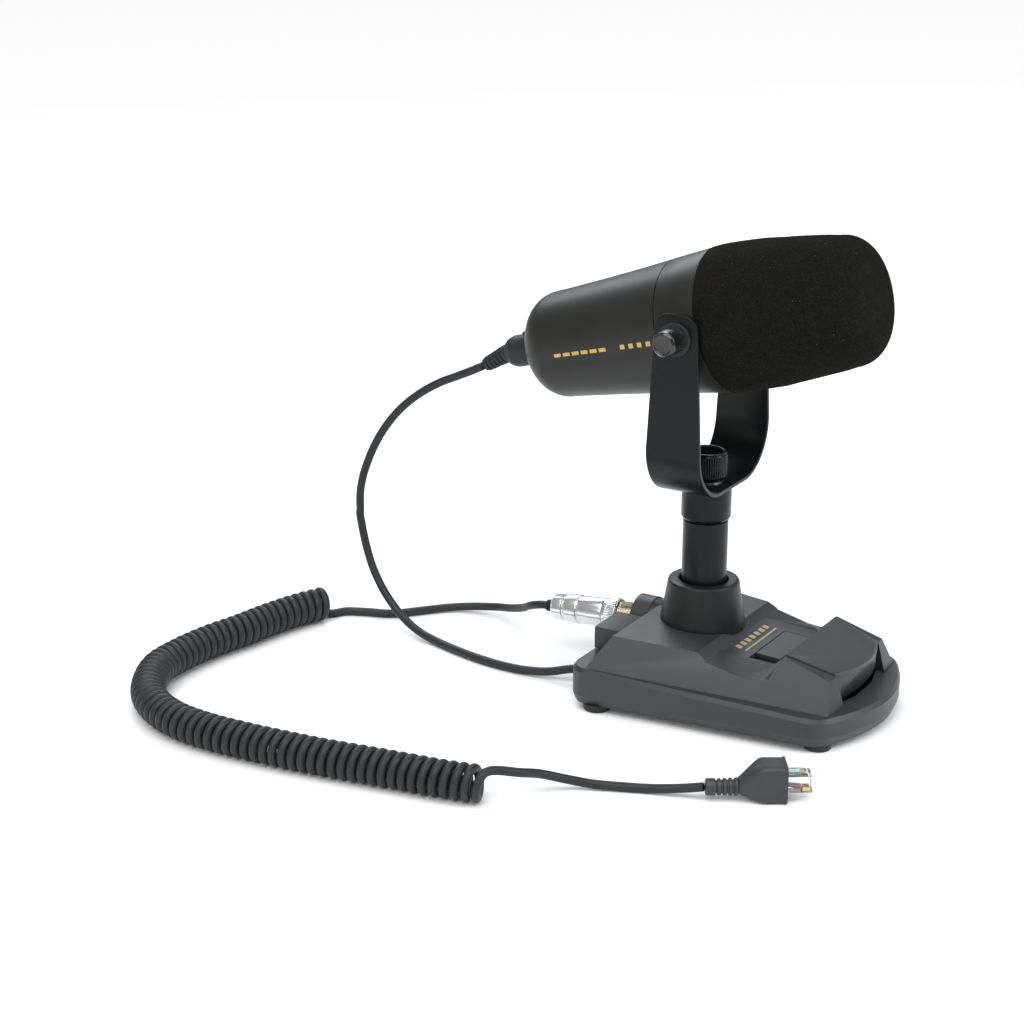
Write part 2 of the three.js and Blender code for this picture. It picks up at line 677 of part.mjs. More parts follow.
const pole = rod(POLE_RADIUS, POLE_FOOT_Z, POLE_TOP_Z, POLE_RADIUS - POLE_WALL, 40);
add(foundation, "pole_tube", pole, COLOURS.steel);
const flangeTop = POLE_FOOT_Z - GAP;
const flange = union(
  rod(POLE_RADIUS + 4, plateTop, flangeTop),
  rod(POLE_RADIUS - POLE_WALL - GAP, plateTop, POLE_FOOT_Z + 10),
);
add(foundation, "pole_flange", flange, COLOURS.zinc);
const collar = turned(
  [
    [0, POLE_TOP_Z - 14],
    [POLE_RADIUS - POLE_WALL - GAP, POLE_TOP_Z - 14],
    [POLE_RADIUS - POLE_WALL - GAP, POLE_TOP_Z + GAP],
    [POLE_RADIUS, POLE_TOP_Z + GAP],
    [COLLAR_RADIUS, POLE_TOP_Z + 2],
    [COLLAR_RADIUS, COLLAR_TOP_Z - 0.6],
    [COLLAR_RADIUS - 0.6, COLLAR_TOP_Z],
    [0, COLLAR_TOP_Z],
  ],
  40,
);
add(foundation, "pole_collar", collar, COLOURS.steel);
const yokeFloor = COLLAR_TOP_Z + FRICTION_WASHER;
const yokeInside = yokeFloor + YOKE_SHEET;
const nutWasher = 1;
const nutFoot = yokeInside + nutWasher;
const studTop = nutFoot + THUMB_NUT_HEIGHT - 5;
add(foundation, "yoke_stud", rod(STUD_RADIUS, COLLAR_TOP_Z, studTop, 0, 24), COLOURS.nickel);

// ---------------------------------------------------------------- yoke

const yoke = new THREE.Group();
object.add(yoke);
const washer = (radius, z0, z1) => rod(radius, z0, z1, STUD_RADIUS + 0.3, 28);
add(yoke, "friction_washer", washer(COLLAR_RADIUS - 1.5, COLLAR_TOP_Z, yokeFloor), COLOURS.rubber);

function yokeSection() {
  const points = [];
  const round = (radius, halfWidth, reverse) => {
    const stops = [];
    for (let i = 0; i <= 8; i += 1) {
      const a = (i / 8) * (Math.PI / 2);
      const cx = halfWidth - radius;
      const cz = yokeFloor + YOKE_BEND_RADIUS;
      stops.push([cx + radius * Math.sin(a), cz - radius * Math.cos(a)]);
    }
    const mirror = stops.map(([x, z]) => [-x, z]).reverse();
    const whole = [...mirror, ...stops];
    return reverse ? whole.reverse() : whole;
  };
  const top = PIVOT_Z + YOKE_EAR_ABOVE_PIVOT;
  const inner = YOKE_HALF_WIDTH - YOKE_SHEET;
  points.push([-YOKE_HALF_WIDTH, top], ...round(YOKE_BEND_RADIUS, YOKE_HALF_WIDTH, false));
  points.push([YOKE_HALF_WIDTH, top], [inner, top]);
  points.push(...round(YOKE_BEND_RADIUS - YOKE_SHEET, inner, true), [-inner, top]);
  return points;
}

function yokeSide() {
  const top = PIVOT_Z + YOKE_EAR_ABOVE_PIVOT;
  const low = YOKE_STRAP_HALF_LOW;
  const high = YOKE_STRAP_HALF_TOP;
  const corner = [];
  for (let i = 0; i <= 4; i += 1) {
    const a = (i / 4) * (Math.PI / 2);
    corner.push([
      high - YOKE_EAR_CORNER + YOKE_EAR_CORNER * Math.cos(a),
      top - YOKE_EAR_CORNER + YOKE_EAR_CORNER * Math.sin(a),
    ]);
  }
  const right = [[low, yokeFloor - 5], [low, yokeFloor + YOKE_BEND_RADIUS], ...corner];
  return [...right, ...right.map(([y, z]) => [-y, z]).reverse()];
}

const yokeBlank = slabY(yokeSection(), -30, 30).intersect(slabX(yokeSide(), -60, 60));
const earBore = alongX(rod(PIVOT_SCREW_RADIUS + 0.3, -60, 60, 0, 20), [0, 0, PIVOT_Z]);
const studBore = rod(STUD_RADIUS + 0.3, yokeFloor - 5, yokeInside + 5, 0, 24);
add(yoke, "yoke_strap", cut(yokeBlank, earBore, studBore), COLOURS.steel);
add(yoke, "nut_washer", washer(9.5, yokeInside, nutFoot), COLOURS.nickel);
for (const side of [-1, 1]) {
  const near = YOKE_HALF_WIDTH;
  const disc = alongX(rod(9.5, near, near + TILT_WASHER, PIVOT_SCREW_RADIUS + 0.3, 28));
  const placed = side < 0 ? mirrored(disc) : disc;
  const name = side < 0 ? "tilt_washer_left" : "tilt_washer_right";
  add(yoke, name, shifted(placed, [0, 0, PIVOT_Z]), COLOURS.rubber);
}

const nut = new THREE.Group();
object.add(nut);
const nutTop = nutFoot + THUMB_NUT_HEIGHT;
const nutShape = turned(
  [
    [STUD_RADIUS + 0.3, nutFoot],
    [THUMB_NUT_RADIUS - 0.8, nutFoot],
    [THUMB_NUT_RADIUS, nutFoot + 1],
    [THUMB_NUT_RADIUS, nutTop - 1],
    [THUMB_NUT_RADIUS - 0.8, nutTop],
    [THUMB_NUT_RADIUS - 2.5, nutTop],
    [THUMB_NUT_RADIUS - 3.5, nutTop - 7],
    [STUD_RADIUS + 0.3, nutTop - 7],
    [STUD_RADIUS + 0.3, nutFoot],
  ],
  36,
);
add(nut, "yoke_thumb_nut", nutShape, COLOURS.steel);

// ---------------------------------------------------------------- tilt screws

for (const side of [-1, 1]) {
  const screw = new THREE.Group();
  screw.position.set(0, 0, PIVOT_Z);
  object.add(screw);
  const foot = YOKE_HALF_WIDTH + TILT_WASHER + 0.1;
  const shape = turned(
    [
      [0, YOKE_HALF_WIDTH - YOKE_SHEET - 6],
      [PIVOT_SCREW_RADIUS, YOKE_HALF_WIDTH - YOKE_SHEET - 6],
      [PIVOT_SCREW_RADIUS, foot],
      [TILT_KNOB_RADIUS, foot],
      [TILT_KNOB_RADIUS, foot + 3],
      [TILT_KNOB_RADIUS - 0.5, TILT_KNOB_END_X - 1.2],
      [TILT_KNOB_RADIUS - 1.6, TILT_KNOB_END_X],
      [0, TILT_KNOB_END_X],
    ],
    28,
  );
  const lying = alongX(shape);
  const placed = side < 0 ? mirrored(lying) : lying;
  add(screw, side < 0 ? "tilt_screw_left" : "tilt_screw_right", placed, COLOURS.steel);
}

// ---------------------------------------------------------------- microphone head

const head = new THREE.Group();
head.position.set(0, 0, PIVOT_Z);
head.rotation.x = Math.PI / 2 - REST_TILT;
object.add(head);

// Points of a quarter round from a flat end to the side wall, centred at radius rc and length sc.
function roundEnd(rc, sc, radius, from, to, count) {
  const points = [];
  for (let i = 0; i <= count; i += 1) {
    const a = THREE.MathUtils.degToRad(lerp(from, to, i / count));
    points.push([rc + radius * Math.cos(a), sc + radius * Math.sin(a)]);
  }
  return points;
}

const socketBore = 8.4;
function rearOuter(inset) {
  const rc = REAR_RADIUS - REAR_ROUND;
  const sc = REAR_END_S + REAR_ROUND;
  return [
    ...roundEnd(rc, sc, REAR_ROUND - inset, -90, -5, 7),
    [lerp(REAR_RADIUS, SHELL_SEAM_RADIUS, 0.25) - inset, -64],
    [lerp(REAR_RADIUS, SHELL_SEAM_RADIUS, 0.55) - inset, -42],
    [SHELL_SEAM_RADIUS - inset, SHELL_SEAM_S],
  ];
}
const rearProfile = [
  [socketBore, REAR_END_S],
  ...rearOuter(0),
  ...rearOuter(SHELL_WALL).reverse(),
  [socketBore, REAR_END_S + SHELL_WALL],
  [socketBore, REAR_END_S],
];
add(head, "rear_shell", turned(rearProfile, 36), COLOURS.shell);

const ringRear = SHELL_SEAM_S + GAP;
const spigot = SHELL_SEAM_RADIUS - SHELL_WALL - 1.2;
const ringTube = turned(
  [
    [spigot - 2, ringRear - 6],
    [spigot, ringRear - 6],
    [spigot, ringRear],
    [SHELL_SEAM_RADIUS, ringRear],
    [RING_FRONT_RADIUS, RING_FRONT_S],
    [RING_FRONT_RADIUS - 7, RING_FRONT_S],
    [RING_FRONT_RADIUS - 7, RING_FRONT_S - 2],
    [spigot - 2, ringRear + 2],
    [spigot - 2, ringRear - 6],
  ],
  36,
);
const bossReach = YOKE_HALF_WIDTH - YOKE_SHEET - GAP;
const bosses = [-1, 1].map((side) => {
  const boss = alongX(rod(PIVOT_BOSS_RADIUS, 35.5, bossReach, 0, 28));
  return side < 0 ? mirrored(boss) : boss;
});
const bossBores = [-1, 1].map((side) => {
  const bore = alongX(rod(PIVOT_SCREW_RADIUS + 0.3, 34, 50, 0, 20));
  return side < 0 ? mirrored(bore) : bore;
});
add(head, "front_ring", cut(union(ringTube, ...bosses), ...bossBores), COLOURS.shell);

const foamRear = RING_FRONT_S + GAP;
const foamCore = FOAM_NOSE_RADIUS - FOAM_ROUND;
const foamProfile = (inset) => [
  [FOAM_WIDE_RADIUS - 0.4 - inset, foamRear],
  [FOAM_WIDE_RADIUS - inset, foamRear + 6],
  [FOAM_WIDE_RADIUS - 0.5 - inset, 40],
  [lerp(FOAM_NOSE_RADIUS, FOAM_WIDE_RADIUS, 0.6) - inset, 58],
  [FOAM_NOSE_RADIUS + 1.2 - inset, 76],
  ...roundEnd(foamCore, FOAM_END_S - FOAM_ROUND, FOAM_ROUND - inset, 10, 90, 6),
];
const foamShape = turned(
  [
    ...foamProfile(0),
    [0, FOAM_END_S],
    [0, FOAM_END_S - FOAM_THICKNESS],
    ...foamProfile(FOAM_THICKNESS).reverse(),
    foamProfile(0)[0],
  ],
  36,
);
add(head, "foam_windscreen", foamShape, COLOURS.foam);
const grilleOut = FOAM_THICKNESS + GAP;
const grilleShape = turned(
  [
    ...foamProfile(grilleOut),
    [0, FOAM_END_S - grilleOut],
    [0, FOAM_END_S - grilleOut - GRILLE_WALL],
    ...foamProfile(grilleOut + GRILLE_WALL).reverse(),
    foamProfile(grilleOut)[0],
  ],
  24,
);
add(head, "inner_grille", grilleShape, COLOURS.steel);
const mountRadius = foamProfile(grilleOut + GRILLE_WALL)[2][0] - 1.5;
const mountS = 46;
const mountShape = rod(mountRadius, mountS, mountS + 4, CAPSULE_RADIUS + GAP, 40);
add(head, "capsule_mount", mountShape, COLOURS.rubber);
const capsuleShape = turned(
  [
    [0, mountS - 12],
    [CAPSULE_RADIUS, mountS - 12],
    [CAPSULE_RADIUS, mountS + 18],
    [CAPSULE_RADIUS - 1.5, mountS + 20],
    [0, mountS + 20],
  ],
  32,
);
add(head, "microphone_capsule", capsuleShape, COLOURS.nickel);
const rearSocket = turned(
  [
    [0, REAR_END_S + SHELL_WALL + GAP],
    [11, REAR_END_S + SHELL_WALL + GAP],
    [11, REAR_END_S + SHELL_WALL + 3],
    [socketBore - 0.6, REAR_END_S + SHELL_WALL + 3],
    [socketBore - 0.6, REAR_END_S + 16],
    [0, REAR_END_S + 16],
  ],
  28,
);
add(head, "rear_socket", rearSocket, COLOURS.rubber);

// Lead plug in the microphone's rear: round body, latch, ribbed relief that droops.
const plugRear = REAR_END_S - 22;
const plugBody = turned(
  [
    [0, REAR_END_S + SHELL_WALL],
    [socketBore - 1, REAR_END_S + SHELL_WALL],
    [socketBore - 1, REAR_END_S - GAP],
    [9.4, REAR_END_S - GAP],
    [9.4, plugRear + 6],
    [8, plugRear + 2],
    [5.5, plugRear],
    [0, plugRear],
  ],
  28,
);
const latch = block([-2.5, 2.5], [8.5, 11], [REAR_END_S - 8, REAR_END_S - GAP]);
const reliefDroop = 16.5;
const reliefShape = turned([[0, 2], [5.6, 2], [5, -10], [4.2, -18.5], [0, -18.5]], 20);
const droop = THREE.MathUtils.degToRad(reliefDroop);
const relief = shifted(turnX(reliefShape, -droop), [0, 0, plugRear]);
add(head, "mic_lead_plug", union(plugBody, latch, relief), COLOURS.rubber);

// ---------------------------------------------------------------- radio socket and its plug

const socket = new THREE.Group();
socket.position.set(SOCKET_X, DECK_REAR_FOOT_Y - 2.3, SOCKET_Z);
socket.rotation.x = -Math.PI / 2 - SOCKET_DROOP;
object.add(socket);
const threadEnd = 18;
const socketShape = turned(
  [
    [6.2, GAP],
    [SOCKET_RADIUS + 2.4, GAP],
    [SOCKET_RADIUS + 2.4, 2.2],
    [SOCKET_RADIUS, 2.2],
    [SOCKET_RADIUS, threadEnd],
    [6.2, threadEnd],
    [6.2, GAP],
  ],
  32,
);
add(socket, "socket_thread", socketShape, COLOURS.brass);
add(socket, "socket_insert", rod(6.2 - GAP, GAP, 10, 0, 24), COLOURS.rubber);

const ringStart = threadEnd + GAP + 0.2;
const ringEnd = ringStart + 9.5;
const bodyEnd = ringEnd + 26;
const clampEnd = bodyEnd + 9.5;
const glandEnd = clampEnd + 5;
const couplingShape = rod(9.3, ringStart, ringEnd, 7.4, 36);
add(socket, "coupling_ring", couplingShape, COLOURS.nickel);
const plugShell = turned(
  [
    [0, 11],
    [6.2 - GAP, 11],
    [6.2 - GAP, ringEnd - 2],
    [7.4 - GAP, ringEnd - 2],
    [7.4 - GAP, ringEnd + GAP],
    [8.8, ringEnd + GAP],
    [8.8, bodyEnd],
    [0, bodyEnd],
  ],
  36,
);
add(socket, "round_plug_shell", plugShell, COLOURS.nickel);
const clampShape = turned(
  [
    [0, bodyEnd + GAP],
    [7, bodyEnd + GAP],
    [7, bodyEnd + 1.6],
    [8, bodyEnd + 1.6],
    [8, clampEnd - 1],
    [7, clampEnd],
    [0, clampEnd],
  ],
  32,
);
add(socket, "cord_clamp", clampShape, COLOURS.nickel);
const glandShape = rod(3.9, clampEnd + GAP, glandEnd, 0, 20);
add(socket, "round_plug_gland", glandShape, COLOURS.rubber);

const inletBore = CORD_RADIUS + 0.4;
const inletShape = turned(
  [
    [inletBore, -2],
    [4, -2],
    [4, 3],
    [5.5, 3.4],
    [5, 6],
    [inletBore, 6],
    [inletBore, -2],
  ],
  24,
);
const inlet = alongY(inletShape, [LEAD_INLET[0], BASE_REAR_Y, LEAD_INLET[1] + 1]);
add(foundation, "lead_grommet", inlet, COLOURS.rubber);

// ---------------------------------------------------------------- cords

// Microphone lead, from the plug's relief down to the table and into the base.
const LEAD_UPPER = [
  [0, 148.2, 172.1],
  [0, 156, 168],
  [0, 166, 163.2],
  [-0.5, 178, 157.5],
  [-1, 193, 148],
  [-2, 206.5, 136],
  [-3, 219, 119.5],
  [-5, 227.5, 101],
  [-7, 231.5, 84],
  [-8, 231.5, 67],
];
const LEAD_LOWER = [
  [-8.05, 231.4, 66.3],
  [-10, 226, 48.8],
  [-12, 219.5, 35],
  [-14.5, 209.5, 22],
  [-18, 196, 11.5],
  [-22, 181, 5.2],
  [-26.5, 163, 2.7],
  [-32, 145, 2.6],
  [-36, 128, 2.6],
  [-38, 111, 2.6],
  [-37.5, 96, 2.8],
  [-35.5, 82, 4.2],
  [-33, 69, 7.6],
  [-31, 58.4, 10],
];
socket.updateMatrix();
const outOfGland = (s) => new THREE.Vector3(0, 0, s).applyMatrix4(socket.matrix).toArray();
const RADIO_LEAD = [
  outOfGland(glandEnd + GAP),
  outOfGland(glandEnd + 4),
  [11.5, 120, 23],
  [20, 131, 16.5],
  [29, 145, 10.5],
  [36, 160, 6],
  [34, 177, 3.6],
  [26, 190, 2.8],
  [14, 201, 2.6],
  [0, 214, 2.6],
  [-5.5, 228, 2.6],
  [-11.5, 240.5, 2.6],
  [-19.3, 246.7, 2.7],
];
const COIL = [
  [-20, 247],
  [-40, 255],
  [-64, 261],
  [-89.5, 265],
  [-113, 270],
  [-139, 272],
  [-161, 270.5],
  [-181, 261.5],
  [-197, 249.5],
  [-209, 233.5],
  [-217, 213.5],
  [-220, 191],
  [-220, 170.5],
  [-218.5, 145],
  [-216, 120],
  [-212.5, 96.5],
  [-209, 73],
  [-205.5, 48],
  [-200, 24],
];
const COIL_Z = COIL_RADIUS + 0.1;
const TAIL = [
  [-199.2, 23.2, 18.2],
  [-196.5, 17.5, 17.6],
  [-187, 12, 15.2],
  [-176, 7.5, 11.4],
  [-165.5, -1.5, 6.6],
  [-157, -14, 3.2],
  [-150.5, -29, 2.6],
  [-144.5, -44.5, 2.9],
  [-140.2, -58, 4.6],
  [-137.2, -69.6, 7],
];

add(object, "mic_lead_upper", tubeAlong(LEAD_UPPER, CORD_RADIUS, 26, 8), COLOURS.cord);
add(object, "mic_lead_lower", tubeAlong(LEAD_LOWER, CORD_RADIUS, 34, 8), COLOURS.cord);
add(object, "radio_lead", tubeAlong(RADIO_LEAD, CORD_RADIUS, 34, 8), COLOURS.cord);
const coilPath = COIL.map(([x, y]) => [x, y, COIL_Z]);
add(object, "curly_coil", tubeAlong(coilPath, COIL_RADIUS, 44, 12), COLOURS.cord);
add(object, "plug_tail", tubeAlong(TAIL, CORD_RADIUS, 22, 8), COLOURS.cord);

// Modular plug with its hood, lying on the table at the tail's end.
const tailEnd = TAIL[TAIL.length - 1];
const modular = new THREE.Group();
modular.position.set(tailEnd[0], tailEnd[1], tailEnd[2]);
modular.rotation.z = Math.atan2(-46, 29.5) + Math.PI / 2 + Math.PI;
object.add(modular);
const reliefEnd = 17;
const hoodEnd = reliefEnd + 23;
const modularEnd = hoodEnd + 14.5;
const hoodLift = 3.6;
const hoodNeck = turned(
  [
    [0, GAP + 0.6],
    [4.2, GAP + 0.6],
    [5, reliefEnd + 2],
    [0, reliefEnd + 2],
  ],
  20,
);
const hoodRelief = alongY(hoodNeck);
const hoodBody = hull([
  [-6, reliefEnd, -4], [6, reliefEnd, -4], [-6, reliefEnd, 8], [6, reliefEnd, 8],
  [-9, hoodEnd - 8, -7], [9, hoodEnd - 8, -7], [-9, hoodEnd - 8, 14], [9, hoodEnd - 8, 14],
  [-9, hoodEnd, -6.8], [9, hoodEnd, -6.8], [-9, hoodEnd, 13.6], [9, hoodEnd, 13.6],
]);
const hoodMouth = block([-6.2, 6.2], [hoodEnd - 10, hoodEnd + 1], [hoodLift - 6.8, hoodLift + 6.8]);
add(modular, "modular_hood", cut(union(hoodRelief, hoodBody), hoodMouth), COLOURS.rubber);
const jack = block([-5.85, 5.85], [hoodEnd - 9.6, modularEnd], [hoodLift - 5, hoodLift + 4.2]);
const tang = block([-3, 3], [hoodEnd - 6, modularEnd - 3], [hoodLift + 4, hoodLift + 6]);
add(modular, "modular_plug", union(jack, tang), COLOURS.clear);

// ---------------------------------------------------------------- frame

// Origin at the middle of the box of the object without its cords, on the table.
const rearMost =
  -(REAR_END_S + REAR_ROUND) * Math.cos(REST_TILT) +
  (REAR_RADIUS - REAR_ROUND) * Math.sin(REST_TILT) +
  REAR_ROUND;
object.position.y = -(rearMost + BASE_NOSE_Y) / 2;

export default object;
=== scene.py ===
import json
import math

import bmesh
import bpy
import numpy as np
from mathutils import Matrix, Vector
from mathutils.bvhtree import BVHTree


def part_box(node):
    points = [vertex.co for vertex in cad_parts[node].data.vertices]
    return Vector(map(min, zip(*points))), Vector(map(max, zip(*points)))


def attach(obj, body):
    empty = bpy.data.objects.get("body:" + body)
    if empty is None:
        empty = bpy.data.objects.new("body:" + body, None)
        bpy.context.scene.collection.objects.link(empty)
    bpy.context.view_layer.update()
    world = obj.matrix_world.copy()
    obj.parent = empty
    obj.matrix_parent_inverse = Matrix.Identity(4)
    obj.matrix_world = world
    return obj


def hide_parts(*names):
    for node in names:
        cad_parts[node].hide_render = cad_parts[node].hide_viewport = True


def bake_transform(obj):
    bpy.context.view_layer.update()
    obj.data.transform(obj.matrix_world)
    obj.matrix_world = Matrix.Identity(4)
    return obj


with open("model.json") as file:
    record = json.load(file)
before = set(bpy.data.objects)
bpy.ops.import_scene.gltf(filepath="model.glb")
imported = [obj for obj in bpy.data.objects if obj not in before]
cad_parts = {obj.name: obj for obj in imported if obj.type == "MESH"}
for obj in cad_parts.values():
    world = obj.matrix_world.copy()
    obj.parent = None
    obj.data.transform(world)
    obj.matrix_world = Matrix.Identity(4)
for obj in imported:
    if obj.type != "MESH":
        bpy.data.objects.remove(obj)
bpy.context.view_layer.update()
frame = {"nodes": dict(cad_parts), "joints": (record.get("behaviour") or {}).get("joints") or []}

# %% [markdown]
# Every length is easier to read in millimetres, and the frame is in metres. The middle of the
# post is not the origin: the origin is under the middle of the whole object, so all the
# positions below are shifted along Y by the same small amount. The yoke's pivot gives it,
# since the pivot's axis crosses the post.
# %% Millimetres and the post's place
MM = 0.001
pivot = next(j for j in frame["joints"] if j["name"] == "mic_tilt")["pos_m"]
POST_Y = pivot[1] / MM
PIVOT_Z = pivot[2] / MM


def at(points):
    """Points in millimetres from the post's foot, as metres in the frame: (x, y + post, z) / 1000."""
    p = np.atleast_2d(np.asarray(points, float)).copy()
    p[:, 1] += POST_Y
    return p * MM


print("post at y =", round(POST_Y, 3), "mm, pivot at z =", PIVOT_Z, "mm")

# %% [markdown]
# The camera stands to the front left of the object and looks down a little, far away with a
# long lens, so that upright edges stay nearly parallel. It has no focus blur and no shift.
# %% Camera
CAMERA_AT = (-1229.04, -588.52, 566.13)
AZIMUTH, PITCH, ROLL = map(math.radians, (-59.76, 18.70, 0.45))
LENS = 2516.8 / 1024 * 36

look = Vector((-math.sin(AZIMUTH) * math.cos(PITCH), math.cos(AZIMUTH) * math.cos(PITCH), -math.sin(PITCH)))
level = Vector((math.cos(AZIMUTH), math.sin(AZIMUTH), 0))
upright = level.cross(look)
right = level * math.cos(ROLL) + upright * math.sin(ROLL)
up = upright * math.cos(ROLL) - level * math.sin(ROLL)
camera = bpy.data.objects.new("camera", bpy.data.cameras.new("camera"))
bpy.context.scene.collection.objects.link(camera)
camera.data.lens = LENS
camera.data.sensor_width = 36
camera.data.clip_start = 0.01
camera.data.clip_end = 20
basis = np.eye(4)
basis[:3, 0], basis[:3, 1], basis[:3, 2] = right, up, -look
basis[:3, 3] = at(CAMERA_AT)[0]
camera.matrix_world = Matrix(basis.tolist())
bpy.context.scene.camera = camera
print("camera lens", round(LENS, 2), "mm")

# %% [markdown]
# The floor and the wall behind it are one pale sheet. A broad light from above keeps the
# whole sheet evenly bright, and three large soft lamps model the object: a key lamp high on
# the left, a fill from the right, and a strip behind that draws the bright edges on the black
# parts. A pale world lifts the shadows.
# %% Floor and light
floor_mesh = bpy.data.meshes.new("floor")
floor_mesh.from_pydata([(-6, -6, 0), (6, -6, 0), (6, 6, 0), (-6, 6, 0)], [], [(0, 1, 2, 3)])
floor = bpy.data.objects.new("floor", floor_mesh)
bpy.context.scene.collection.objects.link(floor)
floor.location.z = -0.0002
white = bpy.data.materials.new("pale_paper")
white.use_nodes = True
white.node_tree.nodes["Principled BSDF"].inputs["Base Color"].default_value = (0.97, 0.97, 0.97, 1)
white.node_tree.nodes["Principled BSDF"].inputs["Roughness"].default_value = 0.9
floor_mesh.materials.append(white)


def lamp(name, place, target, size, power, colour=(1, 1, 1)):
    """A square area lamp at a place in metres, turned to face a target."""
    data = bpy.data.lights.new(name, "AREA")
    data.shape = "RECTANGLE"
    data.size, data.size_y = size
    data.energy = power
    data.color = colour
    found = bpy.data.objects.new(name, data)
    found.location = place
    found.rotation_euler = (Vector(target) - Vector(place)).to_track_quat("-Z", "Y").to_euler()
    bpy.context.scene.collection.objects.link(found)


lamp("key_lamp", (-1.5, 0.1, 0.9), (0, 0, 0.1), (0.9, 0.7), 5, (1.0, 0.98, 0.95))
lamp("fill_lamp", (0.3, -1.5, 1.0), (0, 0, 0.12), (1.0, 0.8), 13, (0.92, 0.96, 1.0))
lamp("rim_lamp", (0.9, 0.9, 1.1), (0, 0, 0.15), (1.2, 0.6), 12, (0.84, 0.92, 1.0))
sky = bpy.data.objects.new("broad_light", bpy.data.lights.new("broad_light", "SUN"))
sky.data.energy = 2.15
sky.data.angle = math.radians(60)
sky.rotation_euler = (Vector((0, 0, 0)) - Vector((-0.5, -0.2, 1.4))).to_track_quat("-Z", "Y").to_euler()
bpy.context.scene.collection.objects.link(sky)
world = bpy.data.worlds.new("room")
world.use_nodes = True
world.node_tree.nodes["Background"].inputs["Color"].default_value = (1, 1, 1, 1)
world.node_tree.nodes["Background"].inputs["Strength"].default_value = 0.36
bpy.context.scene.world = world
bpy.context.scene.view_settings.view_transform = "Standard"
print("floor, four lamps and a pale room")

# %% [markdown]
# Everything round, bent or wound on this object can be made by one idea: take a ring of
# points and carry it along something. A lathe carries a profile round an axis, and a tube
# carries a circle along a path. The two helpers below work the whole grid out as arrays, and
# a third turns a grid into faces that point outwards.
# %% Grids to meshes
def grid_faces(rows, columns, wrap_rows=False, wrap_columns=True):
    """Quads of a grid of points, numbered row by row: each joins a point to its right and upper neighbours."""
    r = np.arange(rows if wrap_rows else rows - 1)[:, None]
    c = np.arange(columns if wrap_columns else columns - 1)[None, :]
    r2, c2 = (r + 1) % rows, (c + 1) % columns
    return np.stack([r * columns + c, r * columns + c2, r2 * columns + c2, r2 * columns + c],
        -1).reshape(-1, 4)


def make_piece(name, points, faces, material=None, uv=None, smooth=True):
    """A mesh object at the origin from an array of points in metres and a list of faces."""
    mesh = bpy.data.meshes.new(name)
    mesh.from_pydata(np.asarray(points, float).reshape(-1, 3), [], [list(map(int, f)) for f in faces])
    mesh.validate()
    if uv is not None:
        layer = mesh.uv_layers.new(name="UVMap")
        loops = np.zeros(len(mesh.loops), np.int32)
        mesh.loops.foreach_get("vertex_index", loops)
        layer.data.foreach_set("uv", np.asarray(uv, np.float32)[loops].ravel())
    mesh.polygons.foreach_set("use_smooth", [smooth] * len(mesh.polygons))
    mesh.update()
    made = bpy.data.objects.new(name, mesh)
    bpy.context.scene.collection.objects.link(made)
    if material:
        mesh.materials.append(material)
    return made


def spline(points, count):
    """A smooth curve through points, sampled evenly by length: Catmull-Rom pieces with centripetal knots."""
    p = np.asarray(points, float)
    p = np.vstack([2 * p[0] - p[1], p, 2 * p[-1] - p[-2]])
    knots = np.concatenate([[0], np.cumsum(np.linalg.norm(np.diff(p, axis=0), axis=1) ** 0.5)])
    t = np.linspace(knots[1], knots[-2], count * 12)
    i = np.clip(np.searchsorted(knots, t, side="right") - 1, 1, len(p) - 3)
    t0, t1, t2, t3 = (knots[i + k][:, None] for k in (-1, 0, 1, 2))
    p0, p1, p2, p3 = (p[i + k] for k in (-1, 0, 1, 2))
    s = t[:, None]
    a1 = (t1 - s) / (t1 - t0) * p0 + (s - t0) / (t1 - t0) * p1
    a2 = (t2 - s) / (t2 - t1) * p1 + (s - t1) / (t2 - t1) * p2
    a3 = (t3 - s) / (t3 - t2) * p2 + (s - t2) / (t3 - t2) * p3
    b1 = (t2 - s) / (t2 - t0) * a1 + (s - t0) / (t2 - t0) * a2
    b2 = (t3 - s) / (t3 - t1) * a2 + (s - t1) / (t3 - t1) * a3
    fine = (t2 - s) / (t2 - t1) * b1 + (s - t1) / (t2 - t1) * b2
    return even(fine, count)


def even(path, count):
    """The same path, resampled so that neighbours are equally far apart along it."""
    run = np.concatenate([[0], np.cumsum(np.linalg.norm(np.diff(path, axis=0), axis=1))])
    want = np.linspace(0, run[-1], count)
    return np.stack([np.interp(want, run, path[:, k]) for k in range(3)], -1)


def path_length(path):
    """Length of a path: the sum of the distances between neighbours."""
    return float(np.linalg.norm(np.diff(path, axis=0), axis=1).sum())


